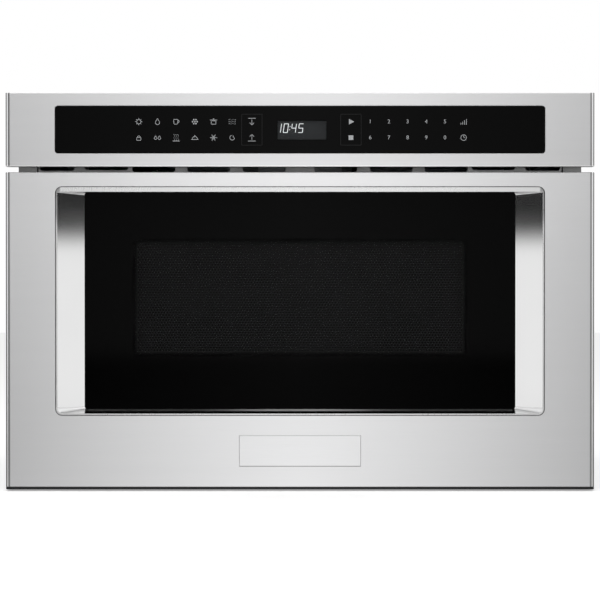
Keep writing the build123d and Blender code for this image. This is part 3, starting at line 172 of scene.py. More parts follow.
# ---- Node trees ------------------------------------------------------------
class Field:
    """An output socket of a node tree; arithmetic on it adds Math nodes."""

    def __init__(self, tree, socket):
        self.tree = tree
        self.socket = socket

    def math(self, operation, *after, before=()):
        """A Math node on this socket and the values before and after it."""
        values = (*before, self, *after)
        return self.tree.add("ShaderNodeMath", dict(enumerate(values)), operation=operation)

    def __add__(self, other):
        return self.math("ADD", other)

    def __sub__(self, other):
        return self.math("SUBTRACT", other)

    def __rsub__(self, other):
        return self.math("SUBTRACT", before=(other,))

    def __mul__(self, other):
        return self.math("MULTIPLY", other)

    def __truediv__(self, other):
        return self.math("DIVIDE", other)

    def __pow__(self, other):
        return self.math("POWER", other)

    def __lt__(self, other):
        return self.math("LESS_THAN", other)

    def __gt__(self, other):
        return self.math("GREATER_THAN", other)

    def __abs__(self):
        return self.math("ABSOLUTE")

    def most(self, other):
        return self.math("MAXIMUM", other)

    __radd__ = __add__
    __rmul__ = __mul__


class Tree:
    """Builds a node tree of any kind."""

    def __init__(self, tree):
        self.nodes = tree.nodes
        self.links = tree.links

    def add(self, kind, sockets=None, output=0, **settings):
        """Adds a node: its settings first, then what goes into its sockets."""
        node = self.nodes.new(kind)
        for key, value in settings.items():
            setattr(node, key, value)
        for key, value in (sockets or {}).items():
            self.plug(node.inputs[key], value)
        return Field(self, node.outputs[output])

    def plug(self, socket, value):
        """Links a field, or each of a list of them, to a socket, or sets the socket's value."""
        if isinstance(value, list):
            for each in value:
                self.plug(socket, each)
        elif isinstance(value, Field):
            self.links.new(value.socket, socket)
        elif isinstance(value, tuple) and len(value) == 3 and socket.type == "RGBA":
            socket.default_value = (*value, 1.0)
        else:
            socket.default_value = value


class Finish(Tree):
    """Builds the node tree of one material."""

    def __init__(self, name):
        self.material = bpy.data.materials.new(name)
        self.material.use_nodes = True
        super().__init__(self.material.node_tree)
        self.nodes.clear()

    def place(self):
        """Object coordinates, in metres."""
        return self.add("ShaderNodeTexCoord", output="Object")

    def axis(self, name):
        """The object coordinate along X, Y or Z."""
        return self.add("ShaderNodeSeparateXYZ", {0: self.place()}, output=name)

    def stretched(self, size):
        """Object coordinates over a feature's size: one length, or one along each axis."""
        lengths = size if isinstance(size, tuple) else (size, size, size)
        return self.add("ShaderNodeVectorMath", {0: self.place(), 1: tuple(1 / part for part in lengths)},
                        operation="MULTIPLY")

    def noise(self, size, detail=2.0, roughness=0.5):
        """Cloudy values from 0 to 1 whose clouds have this size."""
        return self.add("ShaderNodeTexNoise", {"Vector": self.stretched(size), "Scale": 1.0,
                                               "Detail": detail, "Roughness": roughness})

    def cells(self, size, output="Distance"):
        """Cells of this size: the distance from the middle of each, or a colour of its own."""
        return self.add("ShaderNodeTexVoronoi", {"Vector": self.stretched(size), "Scale": 1.0},
                        output=output)

    def crystals(self, size):
        """Cells of this size, each with a random level from 0 to 1."""
        return self.add("ShaderNodeSeparateColor", {0: self.cells(size, "Color")})

    def span(self, value, low, high, to_low=0.0, to_high=1.0):
        """The value's place between two levels, smoothly, as another range."""
        return self.add("ShaderNodeMapRange", {"Value": value, "From Min": low, "From Max": high,
                                               "To Min": to_low, "To Max": to_high},
                        interpolation_type="SMOOTHSTEP")

    def blend(self, low, high, factor):
        """One colour over another."""
        return self.add("ShaderNodeMix", {0: factor, 6: low, 7: high}, output=2, data_type="RGBA")

    def bump(self, height, depth, strength):
        """A normal bent by a height from 0 to 1 over this depth."""
        return self.add("ShaderNodeBump", {"Height": height, "Distance": depth, "Strength": strength})

    def inside(self, value, centre, half, edge):
        """1 within half of the centre, falling to 0 over the edge."""
        return self.span(abs(value - centre), half, half + edge, 1.0, 0.0)

    def surface(self, colour, roughness, metallic, normal=None, **constants):
        """The Principled shader; constants are sockets that stay the same all over."""
        sockets = {"Base Color": colour, "Roughness": roughness, "Metallic": metallic}
        if normal is not None:
            sockets["Normal"] = normal
        for key, value in constants.items():
            sockets[key.replace("_", " ")] = value
        self.add_output(self.add("ShaderNodeBsdfPrincipled", sockets))
        return self.material

    def add_output(self, shader):
        output = self.nodes.new("ShaderNodeOutputMaterial")
        self.plug(output.inputs["Surface"], shader)


def grey(level):
    return (level, level, level)


def dimmed(colour, share):
    return tuple(share * part for part in colour)


def half_of(low, high):
    return (high - low) / 2


def middle_of(low, high):
    return (low + high) / 2


# ---- Finishes of the front --------------------------------------------------
def brushed_stainless(name, lightness=1.0):
    """Horizontally brushed sheet. Along each bent upright edge a dark line where the bend starts and a dark
    outer band are painted shade, with a painted highlight between them. Over the gap the panel's rim
    carries a painted highlight and the drawer's rim painted shade."""
    steel = bpy.context.scene.drawer_steel
    finish = Finish(name)
    grain = finish.noise((steel.grain_length, steel.grain_length, steel.grain_width), 3.0, 0.6)
    broad = finish.noise((0.30, 0.30, 0.011))
    cloud = finish.noise((0.22, 0.22, 0.16))
    x, y, z = (finish.axis(letter) for letter in "XYZ")
    # Painted shade and highlight on the bend: a dark line where the bend starts, a bright line in it, and a
    # dark outer band (outer) at the sheet's edge.
    painted_crease_shade = finish.inside(abs(x), half_width - 0.88 * steel.bend, half=0.0008, edge=0.0004)
    painted_glint = finish.inside(abs(x), half_width - 0.49 * steel.bend, half=0.0005, edge=0.0002)
    outer = finish.inside(abs(x), half_width, half=0.0012, edge=0.0003)
    outer = outer * finish.span(y, face_y + 0.7 * steel.bend, face_y + steel.bend, 1.0, 0.0)
    # Painted highlight along the panel's lower rim over the gap, painted shade along the drawer's top rim.
    painted_rim_highlight = finish.inside(z, fascia_low.z, half=0.0008, edge=0.0003)
    painted_rim_shade = finish.inside(z, skin_high.z, half=0.0005, edge=0.0003)
    # The painted shade of the bend and of the drawer's rim darkens the tone along with the grain.
    tone = (1.0 - 0.05 * grain - 0.03 * broad) * (1.0 - 0.50 * painted_crease_shade) * (1.0 - 0.88 * outer)
    tone = tone * (1.0 - 0.6 * painted_rim_shade)
    # A lightness under one paints a darker copy of the same steel, as shade.
    colour = finish.blend(grey(0.0), dimmed(steel.colour, lightness), tone)
    # Painted highlights: the bright line on the bend and the panel's rim turn white.
    colour = finish.blend(colour, grey(1.0), painted_glint.most(painted_rim_highlight))
    roughness = steel.roughness - 0.03 + 0.06 * grain + 0.04 * cloud
    normal = finish.bump(grain, 0.000012, 0.35)
    return finish.surface(colour, roughness, 1.0, normal, Anisotropic=0.72, Anisotropic_Rotation=0.25)


def polished_stainless():
    """Bright polished metal with faint wipe marks. Its lip, its lower corners and the strip at the foot of
    the door glass are satin. The lip is painted darker as shade, and darker still high on each side."""
    finish = Finish("polished_stainless")
    glass_half = 0.220
    glass_depth = 0.0115
    lip_side = 0.247
    shade_foot = recess_high.z - 0.045
    foot_top = recess_low.z + 0.010
    corner_top = recess_low.z + 0.0085
    wipe = finish.noise((0.06, 0.06, 0.05), 3.0)
    scratch = finish.noise((0.0006, 0.02, 0.03))
    x, y, z = (finish.axis(letter) for letter in "XYZ")
    across = abs(x)
    lip = finish.inside(y, recess_low.y, half=0.0004, edge=0.0003)
    at_glass = finish.span(y, face_y + glass_depth - 0.0005, face_y + glass_depth + 0.0005)
    foot = at_glass * finish.span(z, foot_top, foot_top - 0.0005)
    foot = foot * finish.span(across, glass_half - 0.001, glass_half + 0.001, 1.0, 0.0)
    corner = finish.span(across, glass_half + 0.0015, glass_half + 0.0025)
    corner = corner * finish.span(z, corner_top, corner_top - 0.002)
    centre = finish.span(across, 0.12, 0.02)
    # Painted shade high on each side of the lip.
    painted_lip_shade = lip * finish.span(across, lip_side - 0.001, lip_side + 0.001)
    painted_lip_shade = painted_lip_shade * finish.span(z, shade_foot, shade_foot + 0.020)
    colour = finish.blend(grey(0.82), grey(0.87), wipe)
    # The lip is painted darker as shade, and darker still high on its sides.
    colour = finish.blend(colour, grey(0.70), lip)
    colour = finish.blend(colour, grey(0.34), painted_lip_shade)
    roughness = 0.035 + 0.03 * wipe + 0.01 * scratch + 0.22 * lip + foot * (0.25 + 0.25 * centre)
    return finish.surface(colour, roughness + 0.3 * corner, 1.0)


def badge_satin():
    """Fine satin plate, brushed along its length, with painted shade on the bevels above and below."""
    finish = Finish("badge_satin")
    low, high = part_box("badge_plate")
    grain = finish.noise((0.02, 0.02, 0.0003), 3.0, 0.6)
    z = finish.axis("Z")
    # Painted shade on the bevels above and below the plate.
    edge = finish.inside(abs(z - middle_of(low.z, high.z)), half_of(low.z, high.z), half=0.0008,
                         edge=0.0003)
    colour = finish.blend((0.70, 0.70, 0.705), (0.77, 0.77, 0.775), grain)
    colour = finish.blend(colour, grey(0.42), edge)
    normal = finish.bump(grain, 0.000008, 0.3)
    return finish.surface(colour, 0.27 + 0.06 * grain, 1.0, normal, Anisotropic=0.5,
                          Anisotropic_Rotation=0.25)


def printed_glass(name, centre, half, fade, clearness, gloss):
    """Black printed glass with a tinted clear field, given by its centre and half sizes in X and Z,
    whose print fades out inwards."""
    finish = Finish(name)
    x, z = (finish.axis(letter) for letter in "XZ")
    over_x = (abs(x - centre[0]) - (half[0] - fade)).most(0.0)
    over_z = (abs(z - centre[1]) - (half[1] - fade)).most(0.0)
    clear = finish.span((over_x * over_x + over_z * over_z) ** 0.5, 0.0, fade, 1.0, 0.0)
    smear = finish.noise((0.05, 0.05, 0.03), 3.0, 0.6)
    dust = finish.noise(0.004, 1.0)
    colour = finish.blend(grey(0.0003), grey(0.0009), dust)
    return finish.surface(colour, 0.03 + 0.035 * smear, 0.0, Alpha=1.0 - clearness * clear,
                          Specular_IOR_Level=gloss)


def inner_pane():
    """The pane towards the food, painted dark and nearly opaque as shade inside the drawer, with a black
    printed border.
    """
    finish = Finish("inner_pane")
    x, z = (finish.axis(letter) for letter in "XZ")
    low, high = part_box("inner_glass")
    border = 0.018
    fade = 0.001
    edge_x = half_of(low.x, high.x) - border
    edge_z = half_of(low.z, high.z) - border
    over_x = finish.span(abs(x), edge_x, edge_x + fade)
    over_z = finish.span(abs(z - middle_of(low.z, high.z)), edge_z, edge_z + fade)
    printed = over_x.most(over_z)
    smear = finish.noise(0.04, 3.0)
    # The clear part's dark colour and high alpha are painted shade for the unlit inside of the drawer.
    colour = finish.blend((0.018, 0.019, 0.019), (0.008, 0.008, 0.009), printed)
    return finish.surface(colour, 0.04 + 0.05 * smear, 0.0, Alpha=0.92 + 0.08 * printed,
                          Specular_IOR_Level=0.1)


def screen_enamel():
    """Dark baked enamel on the perforated sheet."""
    finish = Finish("screen_enamel")
    mottle = finish.noise(0.01)
    colour = finish.blend(grey(0.021), grey(0.028), mottle)
    return finish.surface(colour, 0.42 + 0.12 * mottle, 0.0, Specular_IOR_Level=0.03)


# ---- Finishes of sheet metal -------------------------------------------------
def spangled_sheet(name, dark, light, size, roughness):
    """Hot-dip zinc coat: flat crystals of slightly different tone, with fine rolling lines."""
    finish = Finish(name)
    warp = finish.noise(0.02)
    shade = finish.crystals(size)
    roll = finish.noise((0.0012, 0.12, 0.0012))
    colour = finish.blend(dark, light, 0.55 * shade + 0.25 * warp + 0.2 * roll)
    level = roughness + 0.10 * shade - 0.05 * warp
    return finish.surface(colour, level, 1.0, finish.bump(shade + 0.4 * roll, 0.00002, 0.25))


def plated_sheet(name, dark, light, roughness, along=0.05):
    """Bright zinc plate, drawn along Y, with a little haze."""
    finish = Finish(name)
    drawn = finish.noise((0.0009, along, 0.0009), 3.0, 0.6)
    haze = finish.noise((0.03, 0.05, 0.03))
    colour = finish.blend(dark, light, 0.5 * drawn + 0.5 * haze)
    level = roughness + 0.08 * drawn + 0.06 * haze
    return finish.surface(colour, level, 1.0, finish.bump(drawn, 0.00001, 0.3))


def turned_metal(name, colour, roughness):
    """Machined metal with fine tool marks round X."""
    finish = Finish(name)
    mark = finish.noise((0.0004, 0.01, 0.01))
    tint = finish.blend(dimmed(colour, 0.82), colour, mark)
    return finish.surface(tint, roughness + 0.1 * mark, 1.0, finish.bump(mark, 0.00001, 0.4))


def enamel(name, colour, speck):
    """Glossy baked enamel with fine specks and a slight orange peel."""
    finish = Finish(name)
    specks = finish.cells(0.0035) < 0.16 * finish.noise(0.006, 1.0)
    peel = finish.noise(0.0025)
    tint = finish.blend(colour, speck, 0.75 * specks)
    return finish.surface(tint, 0.22 + 0.08 * peel, 0.0, finish.bump(peel, 0.00002, 0.5))


def satin_paint(name, colour, roughness=0.45):
    """Powder coat with a fine pebbled skin."""
    finish = Finish(name)
    pebble = finish.noise(0.0012)
    cloud = finish.noise(0.05)
    tint = finish.blend(dimmed(colour, 0.88), colour, cloud)
    return finish.surface(tint, roughness + 0.1 * pebble, 0.0, finish.bump(pebble, 0.00003, 0.5))


# ---- Finishes of plastics, glass and the rest --------------------------------
def moulded(name, colour, roughness, grain=0.0010, sheen=0.3):
    """Moulded plastic with a spark-eroded grain and slow flow marks."""
    finish = Finish(name)
    pit = finish.noise(grain, 2.0, 0.6)
    flow = finish.noise((0.03, 0.04, 0.02))
    tint = finish.blend(dimmed(colour, 0.86), colour, 0.4 * pit + 0.6 * flow)
    return finish.surface(tint, roughness + 0.12 * pit, 0.0, finish.bump(pit, 0.00002, 0.5),
                          Specular_IOR_Level=sheen)


def rubber():
    """Dull rubber with fine pores and a little dust."""
    finish = Finish("rubber")
    pore = finish.noise(0.0008)
    dust = finish.noise((0.01, 0.01, 0.006), 3.0)
    tint = finish.blend(grey(0.018), (0.05, 0.05, 0.048), dust)
    return finish.surface(tint, 0.75 + 0.15 * pore, 0.0, finish.bump(pore, 0.00004, 0.6))


def tray_glass():
    """Pale glass-ceramic with a cloudy body and a gloss skin."""
    finish = Finish("tray_glass")
    body = finish.noise(0.05, 3.0)
    ripple = finish.noise(0.012)
    tint = finish.blend((0.70, 0.71, 0.70), (0.80, 0.80, 0.78), body)
    return finish.surface(tint, 0.09 + 0.06 * body, 0.0, finish.bump(ripple, 0.00002, 0.3))


def mica():
    """Pressed mica sheet: pale, with overlapping flakes."""
    finish = Finish("mica")
    shade = finish.crystals((0.011, 0.007, 0.011))
    fine = finish.noise(0.003, 3.0)
    tint = finish.blend((0.62, 0.59, 0.52), (0.80, 0.78, 0.72), 0.6 * shade + 0.4 * fine)
    return finish.surface(tint, 0.38 + 0.12 * shade, 0.0, finish.bump(shade, 0.00003, 0.4))


def wound_copper():
    """Enamelled wire laid in rows up the winding, with varnish in the grooves."""
    finish = Finish("wound_copper")
    z = finish.axis("Z")
    pitch = 0.0011
    row = abs((z / pitch * math.tau).math("SINE"))
    height = (1.0 - row * row) ** 0.5
    cloud = finish.noise(0.01)
    tint = finish.blend((0.10, 0.035, 0.012), (0.55, 0.22, 0.09), height)
    return finish.surface(tint, 0.30 + 0.12 * cloud, 0.75, finish.bump(height, 0.00025, 0.8),
                          Coat_Weight=0.4)


def laminations():
    """Edges of stacked core sheets, painted dark, with rust starting at the edges."""
    finish = Finish("laminations")
    y = finish.axis("Y")
    sheet = 0.0005
    line = abs((y / sheet * math.pi).math("SINE"))
    rust = finish.span(finish.noise(0.006, 4.0, 0.65), 0.56, 0.72)
    tint = finish.blend((0.045, 0.046, 0.050), (0.12, 0.06, 0.035), 0.6 * rust)
    return finish.surface(tint, 0.5 + 0.2 * rust, 0.3, finish.bump(line, 0.00008, 0.6))


def circuit_board():
    """Green solder mask with tracks and pads showing through it."""
    finish = Finish("circuit_board")
    x, z = (finish.axis(letter) for letter in "XZ")
    pitch = 0.0026
    warp = 2.2 * finish.noise(0.02, 0.0)

    def tracks(place):
        track_share = 0.13
        return abs(place.math("FRACT") - 0.5) < track_share

    vertical = finish.noise(0.012, 0.0) > 0.5
    track = vertical * tracks(x / pitch + warp) + (1.0 - vertical) * tracks(z / pitch - warp)
    pads = finish.cells(0.0058) < 0.14
    tint = finish.blend((0.012, 0.085, 0.038), (0.03, 0.17, 0.08), track)
    tint = finish.blend(tint, (0.62, 0.60, 0.55), pads)
    return finish.surface(tint, 0.28 - 0.08 * pads, 0.8 * pads, finish.bump(track + pads, 0.00003, 0.5))


def lamp_glass():
    """Thin frosted glass of the cavity lamp."""
    finish = Finish("lamp_glass")
    frost = finish.noise(0.004)
    tint = finish.blend((0.86, 0.85, 0.80), (0.93, 0.92, 0.88), frost)
    return finish.surface(tint, 0.08 + 0.2 * frost, 0.0, Alpha=0.55)


def display_face():
    """The dark front of the display behind the glass, with a faint painted glow."""
    finish = Finish("display_face")
    fine = finish.noise(0.0008, 1.0)
    tint = finish.blend((0.019, 0.021, 0.022), (0.026, 0.028, 0.029), fine)
    # The faint emission is a painted glow standing in for light on the dark face.
    return finish.surface(tint, 0.35, 0.0, Specular_IOR_Level=0.2, Emission_Color=(0.031, 0.034, 0.036),
                          Emission_Strength=0.35)


def print_ink(name, colour, glow=0.0):
    """Printed ink, a little uneven at its edges."""
    finish = Finish(name)
    mottle = finish.noise(0.0006)
    tint = finish.blend(dimmed(colour, 0.82), colour, mottle)
    if glow:
        return finish.surface(tint, 0.5, 0.0, Emission_Color=tint, Emission_Strength=glow)
    return finish.surface(tint, 0.5 + 0.1 * mottle, 0.0, Specular_IOR_Level=0.2)


# ---- Mesh helpers ------------------------------------------------------------
def dress(material, *names):
    """Gives CAD nodes, as they are, a finish."""
    for name in names:
        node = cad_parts[name]
        if not node.material_slots:
            node.data.materials.append(material)
        for slot in node.material_slots:
            slot.material = material


def settle(obj, body, slot, *replaced):
    """Puts a finished piece on its body and hides the nodes it replaces; its slot is not used."""
    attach(obj, body)
    if replaced:
        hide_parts(*replaced)


def object_from(bm, name, materials):
    """An object in the scene made of a bmesh, which is freed."""
    mesh = bpy.data.meshes.new(name)
    bm.to_mesh(mesh)
    bm.free()
    for material in materials:
        mesh.materials.append(material)
    obj = bpy.data.objects.new(name, mesh)
    bpy.context.scene.collection.objects.link(obj)
    return obj


def baked(obj):
    """Puts the mesh that an object's modifiers make in the place of its own."""
    evaluated = obj.evaluated_get(bpy.context.evaluated_depsgraph_get())
    mesh = bpy.data.meshes.new_from_object(evaluated)
    obj.modifiers.clear()
    obj.data = mesh
    return obj


def shade_by_angle(mesh, degrees=32):
    """Smooth shading, with edges sharper than the angle kept sharp."""
    mesh.polygons.foreach_set("use_smooth", [True] * len(mesh.polygons))
    mesh.set_sharp_from_angle(angle=math.radians(degrees))
    mesh.update()


def solids_of(bm):
    """Groups of faces that hang together."""
    left = set(bm.faces)
    while left:
        group = [left.pop()]
        for face in group:
            for edge in face.edges:
                for other in edge.link_faces:
                    if other in left:
                        left.remove(other)
                        group.append(other)
        yield group


def bounds_of(group):
    """Low and high corner of a group of faces."""
    points = [vert.co for face in group for vert in face.verts]
    low = Vector(min(p[i] for p in points) for i in range(3))
    high = Vector(max(p[i] for p in points) for i in range(3))
    return low, high


def regrouped(node, body, slot, materials, choose, bevel=0.0, degrees=32):
    """A copy of a CAD node, its triangles joined and, when a bevel is given, its edges softened. For each
    solid, choose gives the place of its finish among the materials from the solid's low and high corner."""
    bm = bmesh.new()
    bm.from_mesh(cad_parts[node].data)
    bmesh.ops.remove_doubles(bm, verts=bm.verts, dist=seam)
    bmesh.ops.dissolve_limit(bm, angle_limit=math.radians(1.0), verts=bm.verts, edges=bm.edges)
    for group in solids_of(bm):
        choice = choose(*bounds_of(group))
        for face in group:
            face.material_index = choice
    for layer in list(bm.loops.layers.float_vector.values()):
        bm.loops.layers.float_vector.remove(layer)
    obj = object_from(bm, node + "_dressed", materials)
    if "custom_normal" in obj.data.attributes:
        obj.data.attributes.remove(obj.data.attributes["custom_normal"])
    shade_by_angle(obj.data, degrees)
    if bevel:
        modifier = obj.modifiers.new("edges", "BEVEL")
        modifier.width = bevel
        modifier.segments = 2
        modifier.limit_method = "ANGLE"
        modifier.angle_limit = math.radians(40)
        modifier.harden_normals = True
    settle(obj, body, slot, node)


# ---- Geometry Nodes ------------------------------------------------------------
class Growth(Tree):
    """Builds a Geometry Nodes tree with named inputs."""

    def __init__(self, name, **inputs):
        self.group = bpy.data.node_groups.new(name, "GeometryNodeTree")
        kinds = {float: "NodeSocketFloat", int: "NodeSocketInt", str: "NodeSocketMaterial",
                 bpy.types.Object: "NodeSocketObject"}
        sockets = self.group.interface
        sockets.new_socket("Geometry", in_out="INPUT", socket_type="NodeSocketGeometry")
        for key, kind in inputs.items():
            sockets.new_socket(key, in_out="INPUT", socket_type=kinds[kind])
        sockets.new_socket("Geometry", in_out="OUTPUT", socket_type="NodeSocketGeometry")
        super().__init__(self.group)
        self.source = self.nodes.new("NodeGroupInput")

    def given(self, name):
        """A named input of the tree."""
        return Field(self, self.source.outputs[name])

    def end(self, geometry):
        """Realizes the instances, sets the material and closes the tree."""
        real = self.add("GeometryNodeRealizeInstances", {0: geometry})
        dressed = self.add("GeometryNodeSetMaterial", {"Geometry": real, "Material": self.given("Material")})
        self.plug(self.nodes.new("NodeGroupOutput").inputs[0], dressed)

    def grow(self, base, name, values):
        """Runs the tree on a base mesh and returns the result as a plain mesh object."""
        obj = bpy.data.objects.new(name, base)
        bpy.context.scene.collection.objects.link(obj)
        modifier = obj.modifiers.new("growth", "NODES")
        modifier.node_group = self.group
        for item in self.group.interface.items_tree:
            if item.in_out == "INPUT" and item.name in values:
                modifier[item.identifier] = values[item.name]
        baked(obj).data.name = name
        return obj


def perforation_tree():
    """A staggered field of six-sided holes in a sheet, in the XY plane, with its back at -Sheet."""
    growth = Growth("perforation", Columns=int, Rows=int, Pitch=float, Hole=float, Sheet=float, Material=str)
    pitch = growth.given("Pitch")
    columns = growth.given("Columns")
    rows = growth.given("Rows")
    grid = growth.add("GeometryNodeMeshGrid", {
        "Size X": (columns - 1) * pitch, "Size Y": (rows - 1) * (pitch * (math.sqrt(3) / 2)),
        "Vertices X": columns, "Vertices Y": rows})
    odd_row = growth.add("GeometryNodeInputIndex").math("MODULO", rows).math("MODULO", 2)
    offset = growth.add("ShaderNodeCombineXYZ", {0: odd_row * pitch * 0.5 - pitch * 0.25})
    points = growth.add("GeometryNodeSetPosition", {"Geometry": grid, "Offset": offset})

    def hexagon(radius):
        """A six-sided outline with a corner towards Y."""
        circle = growth.add("GeometryNodeCurvePrimitiveCircle", {"Resolution": 6, "Radius": radius})
        return growth.add("GeometryNodeTransform", {"Geometry": circle,
                                                    "Rotation": (0.0, 0.0, math.radians(30))})

    cell = hexagon(pitch / math.sqrt(3))
    hole = hexagon(growth.given("Hole"))
    both = growth.add("GeometryNodeJoinGeometry", {0: [cell, hole]})
    face = growth.add("GeometryNodeFillCurve", {"Curve": both})
    drop = growth.add("ShaderNodeCombineXYZ", {2: growth.given("Sheet") * -1})
    lowered = growth.add("GeometryNodeTransform", {"Geometry": face, "Translation": drop})
    back = growth.add("GeometryNodeFlipFaces", {"Mesh": lowered})
    rim = growth.add("GeometryNodeCurveToMesh", {"Curve": hole})
    wall = growth.add("GeometryNodeExtrudeMesh", {"Mesh": rim, "Offset": drop, "Offset Scale": 1.0},
                      mode="EDGES")
    unit = growth.add("GeometryNodeJoinGeometry", {0: [face, back, wall]})
    spread = growth.add("GeometryNodeInstanceOnPoints", {"Points": points, "Instance": unit})
    real = growth.add("GeometryNodeRealizeInstances", {0: spread})
    closeness = 2e-5
    growth.end(growth.add("GeometryNodeMergeByDistance", {"Geometry": real, "Distance": closeness}))
    return growth


def fastener_tree():
    """A screw on every point, its axis along the point's direction."""
    growth = Growth("fasteners", Screw=bpy.types.Object, Material=str)
    shape = growth.add("GeometryNodeObjectInfo", {"Object": growth.given("Screw")}, output="Geometry")
    along = growth.add("GeometryNodeInputNamedAttribute", {"Name": "along"}, data_type="FLOAT_VECTOR")
    turn = growth.add("FunctionNodeAlignRotationToVector", {"Vector": along}, axis="Z")
    points = growth.add("GeometryNodeMeshToPoints", {"Mesh": growth.given("Geometry")})
    growth.end(growth.add("GeometryNodeInstanceOnPoints", {"Points": points, "Instance": shape,
                                                           "Rotation": turn}))
    return growth


# ---- Printed marks -------------------------------------------------------------
class Print:
    """Flat strokes on a plane in front of a face, as seen from the front. Its points are (x, z), in
    units of a mark's size from the mark's centre."""

    def __init__(self, y, stroke):
        self.bm = bmesh.new()
        self.y = y
        self.stroke = stroke
        self.move_to((0.0, 0.0), 1.0)

    def move_to(self, centre, unit):
        """What follows is drawn about this centre, in this unit."""
        self.centre = centre
        self.unit = unit

    def face(self, points):
        middle_x, middle_z = self.centre
        self.bm.faces.new([self.bm.verts.new((middle_x + self.unit * x, self.y,
                                             middle_z + self.unit * z)) for x, z in points])

    def half_stroke(self):
        return self.stroke / self.unit / 2

    def line(self, start, end):
        share = self.half_stroke() / math.dist(start, end)
        ux, uz = (end[0] - start[0]) * share, (end[1] - start[1]) * share
        self.face([(start[0] - ux + uz, start[1] - uz - ux), (end[0] + ux + uz, end[1] + uz - ux),
                   (end[0] + ux - uz, end[1] + uz + ux), (start[0] - ux - uz, start[1] - uz + ux)])

    def path(self, points, closed=False):
        ends = points[1:] + points[:1] if closed else points[1:]
        for start, end in zip(points, ends):
            self.line(start, end)

    def arc(self, radius, start=0, end=360, steps=20, centre=(0.0, 0.0)):
        half = self.half_stroke()
        turns = [math.radians(start + (end - start) * step / steps) for step in range(steps + 1)]
        inner = [polar(radius - half, turn, centre) for turn in turns]
        outer = [polar(radius + half, turn, centre) for turn in turns]
        for step in range(steps):
            self.face([inner[step], outer[step], outer[step + 1], inner[step + 1]])

    def disc(self, radius, centre=(0.0, 0.0)):
        sides = 16
        self.face([polar(radius, math.tau * side / sides, centre) for side in range(sides)])

    def box(self, width, height, centre=(0.0, 0.0)):
        x, z = centre
        w, h = width / 2, height / 2
        self.path([(x - w, z - h), (x + w, z - h), (x + w, z + h), (x - w, z + h)], closed=True)

    def digit(self, text):
        """A digit one unit high, in Blender's own font, as flat faces."""
        font_share = 1.37
        curve = bpy.data.curves.new("digit", "FONT")
        curve.body = text
        curve.size = self.unit * font_share
        curve.align_x = "CENTER"
        curve.align_y = "CENTER"
        curve.resolution_u = 4
        obj = bpy.data.objects.new("digit", curve)
        bpy.context.scene.collection.objects.link(obj)
        depsgraph = bpy.context.evaluated_depsgraph_get()
        mesh = bpy.data.meshes.new_from_object(obj.evaluated_get(depsgraph))
        mesh.transform(upright((self.centre[0], self.y, self.centre[1])))
        self.bm.from_mesh(mesh)
        bpy.data.objects.remove(obj)
        bpy.data.curves.remove(curve)
        bpy.data.meshes.remove(mesh)

    def piece(self, name, material):
        bmesh.ops.recalc_face_normals(self.bm, faces=self.bm.faces)
        for face in self.bm.faces:
            if face.normal.y > 0:
                face.normal_flip()
        return object_from(self.bm, name, [material])


def upright(place):
    """Stands what is flat in XY up at a place, facing the front."""
    return Matrix.Translation(place) @ Matrix.Rotation(math.tau / 4, 4, "X")


def polar(radius, turn, centre=(0.0, 0.0)):
    return (centre[0] + radius * math.cos(turn), centre[1] + radius * math.sin(turn))


def gear_mark(ink):
    ink.arc(0.30)
    for tooth in range(8):
        turn = math.tau * tooth / 8
        ink.line(polar(0.34, turn), polar(0.46, turn))


def drop_mark(ink):
    low = (0.0, -0.12)
    ink.arc(0.30, 150, 390, centre=low)
    for side in (150, 30):
        ink.line(polar(0.30, math.radians(side), low), (0.0, 0.45))


def cup_mark(ink):
    ink.path([(-0.38, 0.32), (-0.30, -0.36), (0.18, -0.36), (0.26, 0.32)], closed=True)
    ink.arc(0.16, -90, 90, 10, (0.26, 0.02))


def kernels_mark(ink):
    ink.disc(0.11)
    for kernel in range(6):
        ink.disc(0.11, polar(0.32, math.tau * kernel / 6))


def pot_mark(ink):
    ink.box(0.66, 0.48, (0.0, -0.12))
    ink.line((-0.48, 0.24), (0.48, 0.24))
    ink.disc(0.08, (0.0, 0.38))


def waves_mark(ink):
    for row in (-0.28, 0.0, 0.28):
        ink.path([((step / 12 - 0.5) * 0.9, row + 0.07 * math.sin(step * math.tau / 6))
                  for step in range(13)])


def lock_mark(ink):
    ink.box(0.60, 0.42, (0.0, -0.18))
    ink.arc(0.20, 0, 180, 12, (0.0, 0.05))


def thaw_mark(ink):
    (x, z), unit = ink.centre, ink.unit
    for side in (-0.27, 0.27):
        ink.move_to((x + side * unit, z), 0.62 * unit)
        drop_mark(ink)
    ink.move_to((x, z), unit)


def warm_mark(ink):
    for column in (-0.28, 0.0, 0.28):
        ink.path([(column + 0.06 * math.sin(step * math.tau / 6), step / 12 - 0.4) for step in range(11)])
    ink.line((-0.45, -0.48), (0.45, -0.48))


def dome_mark(ink):
    ink.arc(0.36, 0, 180, 14, (0.0, -0.20))
    ink.line((-0.48, -0.26), (0.48, -0.26))
    ink.disc(0.07, (0.0, 0.26))


def flake_mark(ink):
    for arm in range(3):
        turn = math.tau * arm / 6
        ink.line(polar(0.44, turn), polar(0.44, turn + math.pi))
    ink.arc(0.20, steps=12)


def repeat_mark(ink):
    ink.arc(0.34, 60, 360, 16)
    tip = polar(0.34, math.radians(60))
    ink.line(tip, (tip[0] - 0.02, tip[1] - 0.24))
    ink.line(tip, (tip[0] - 0.24, tip[1] + 0.04))


def open_mark(ink, way=1):
    """An arrow away from a bar above it: the drawer's way out."""
    ink.line((-0.45, way * 0.42), (0.45, way * 0.42))
    ink.line((0.0, way * 0.24), (0.0, -way * 0.42))
    for side in (-0.24, 0.24):
        ink.line((0.0, -way * 0.42), (side, -way * 0.16))


def shut_mark(ink):
    """The same with its bar below: the drawer's way in."""
    open_mark(ink, -1)


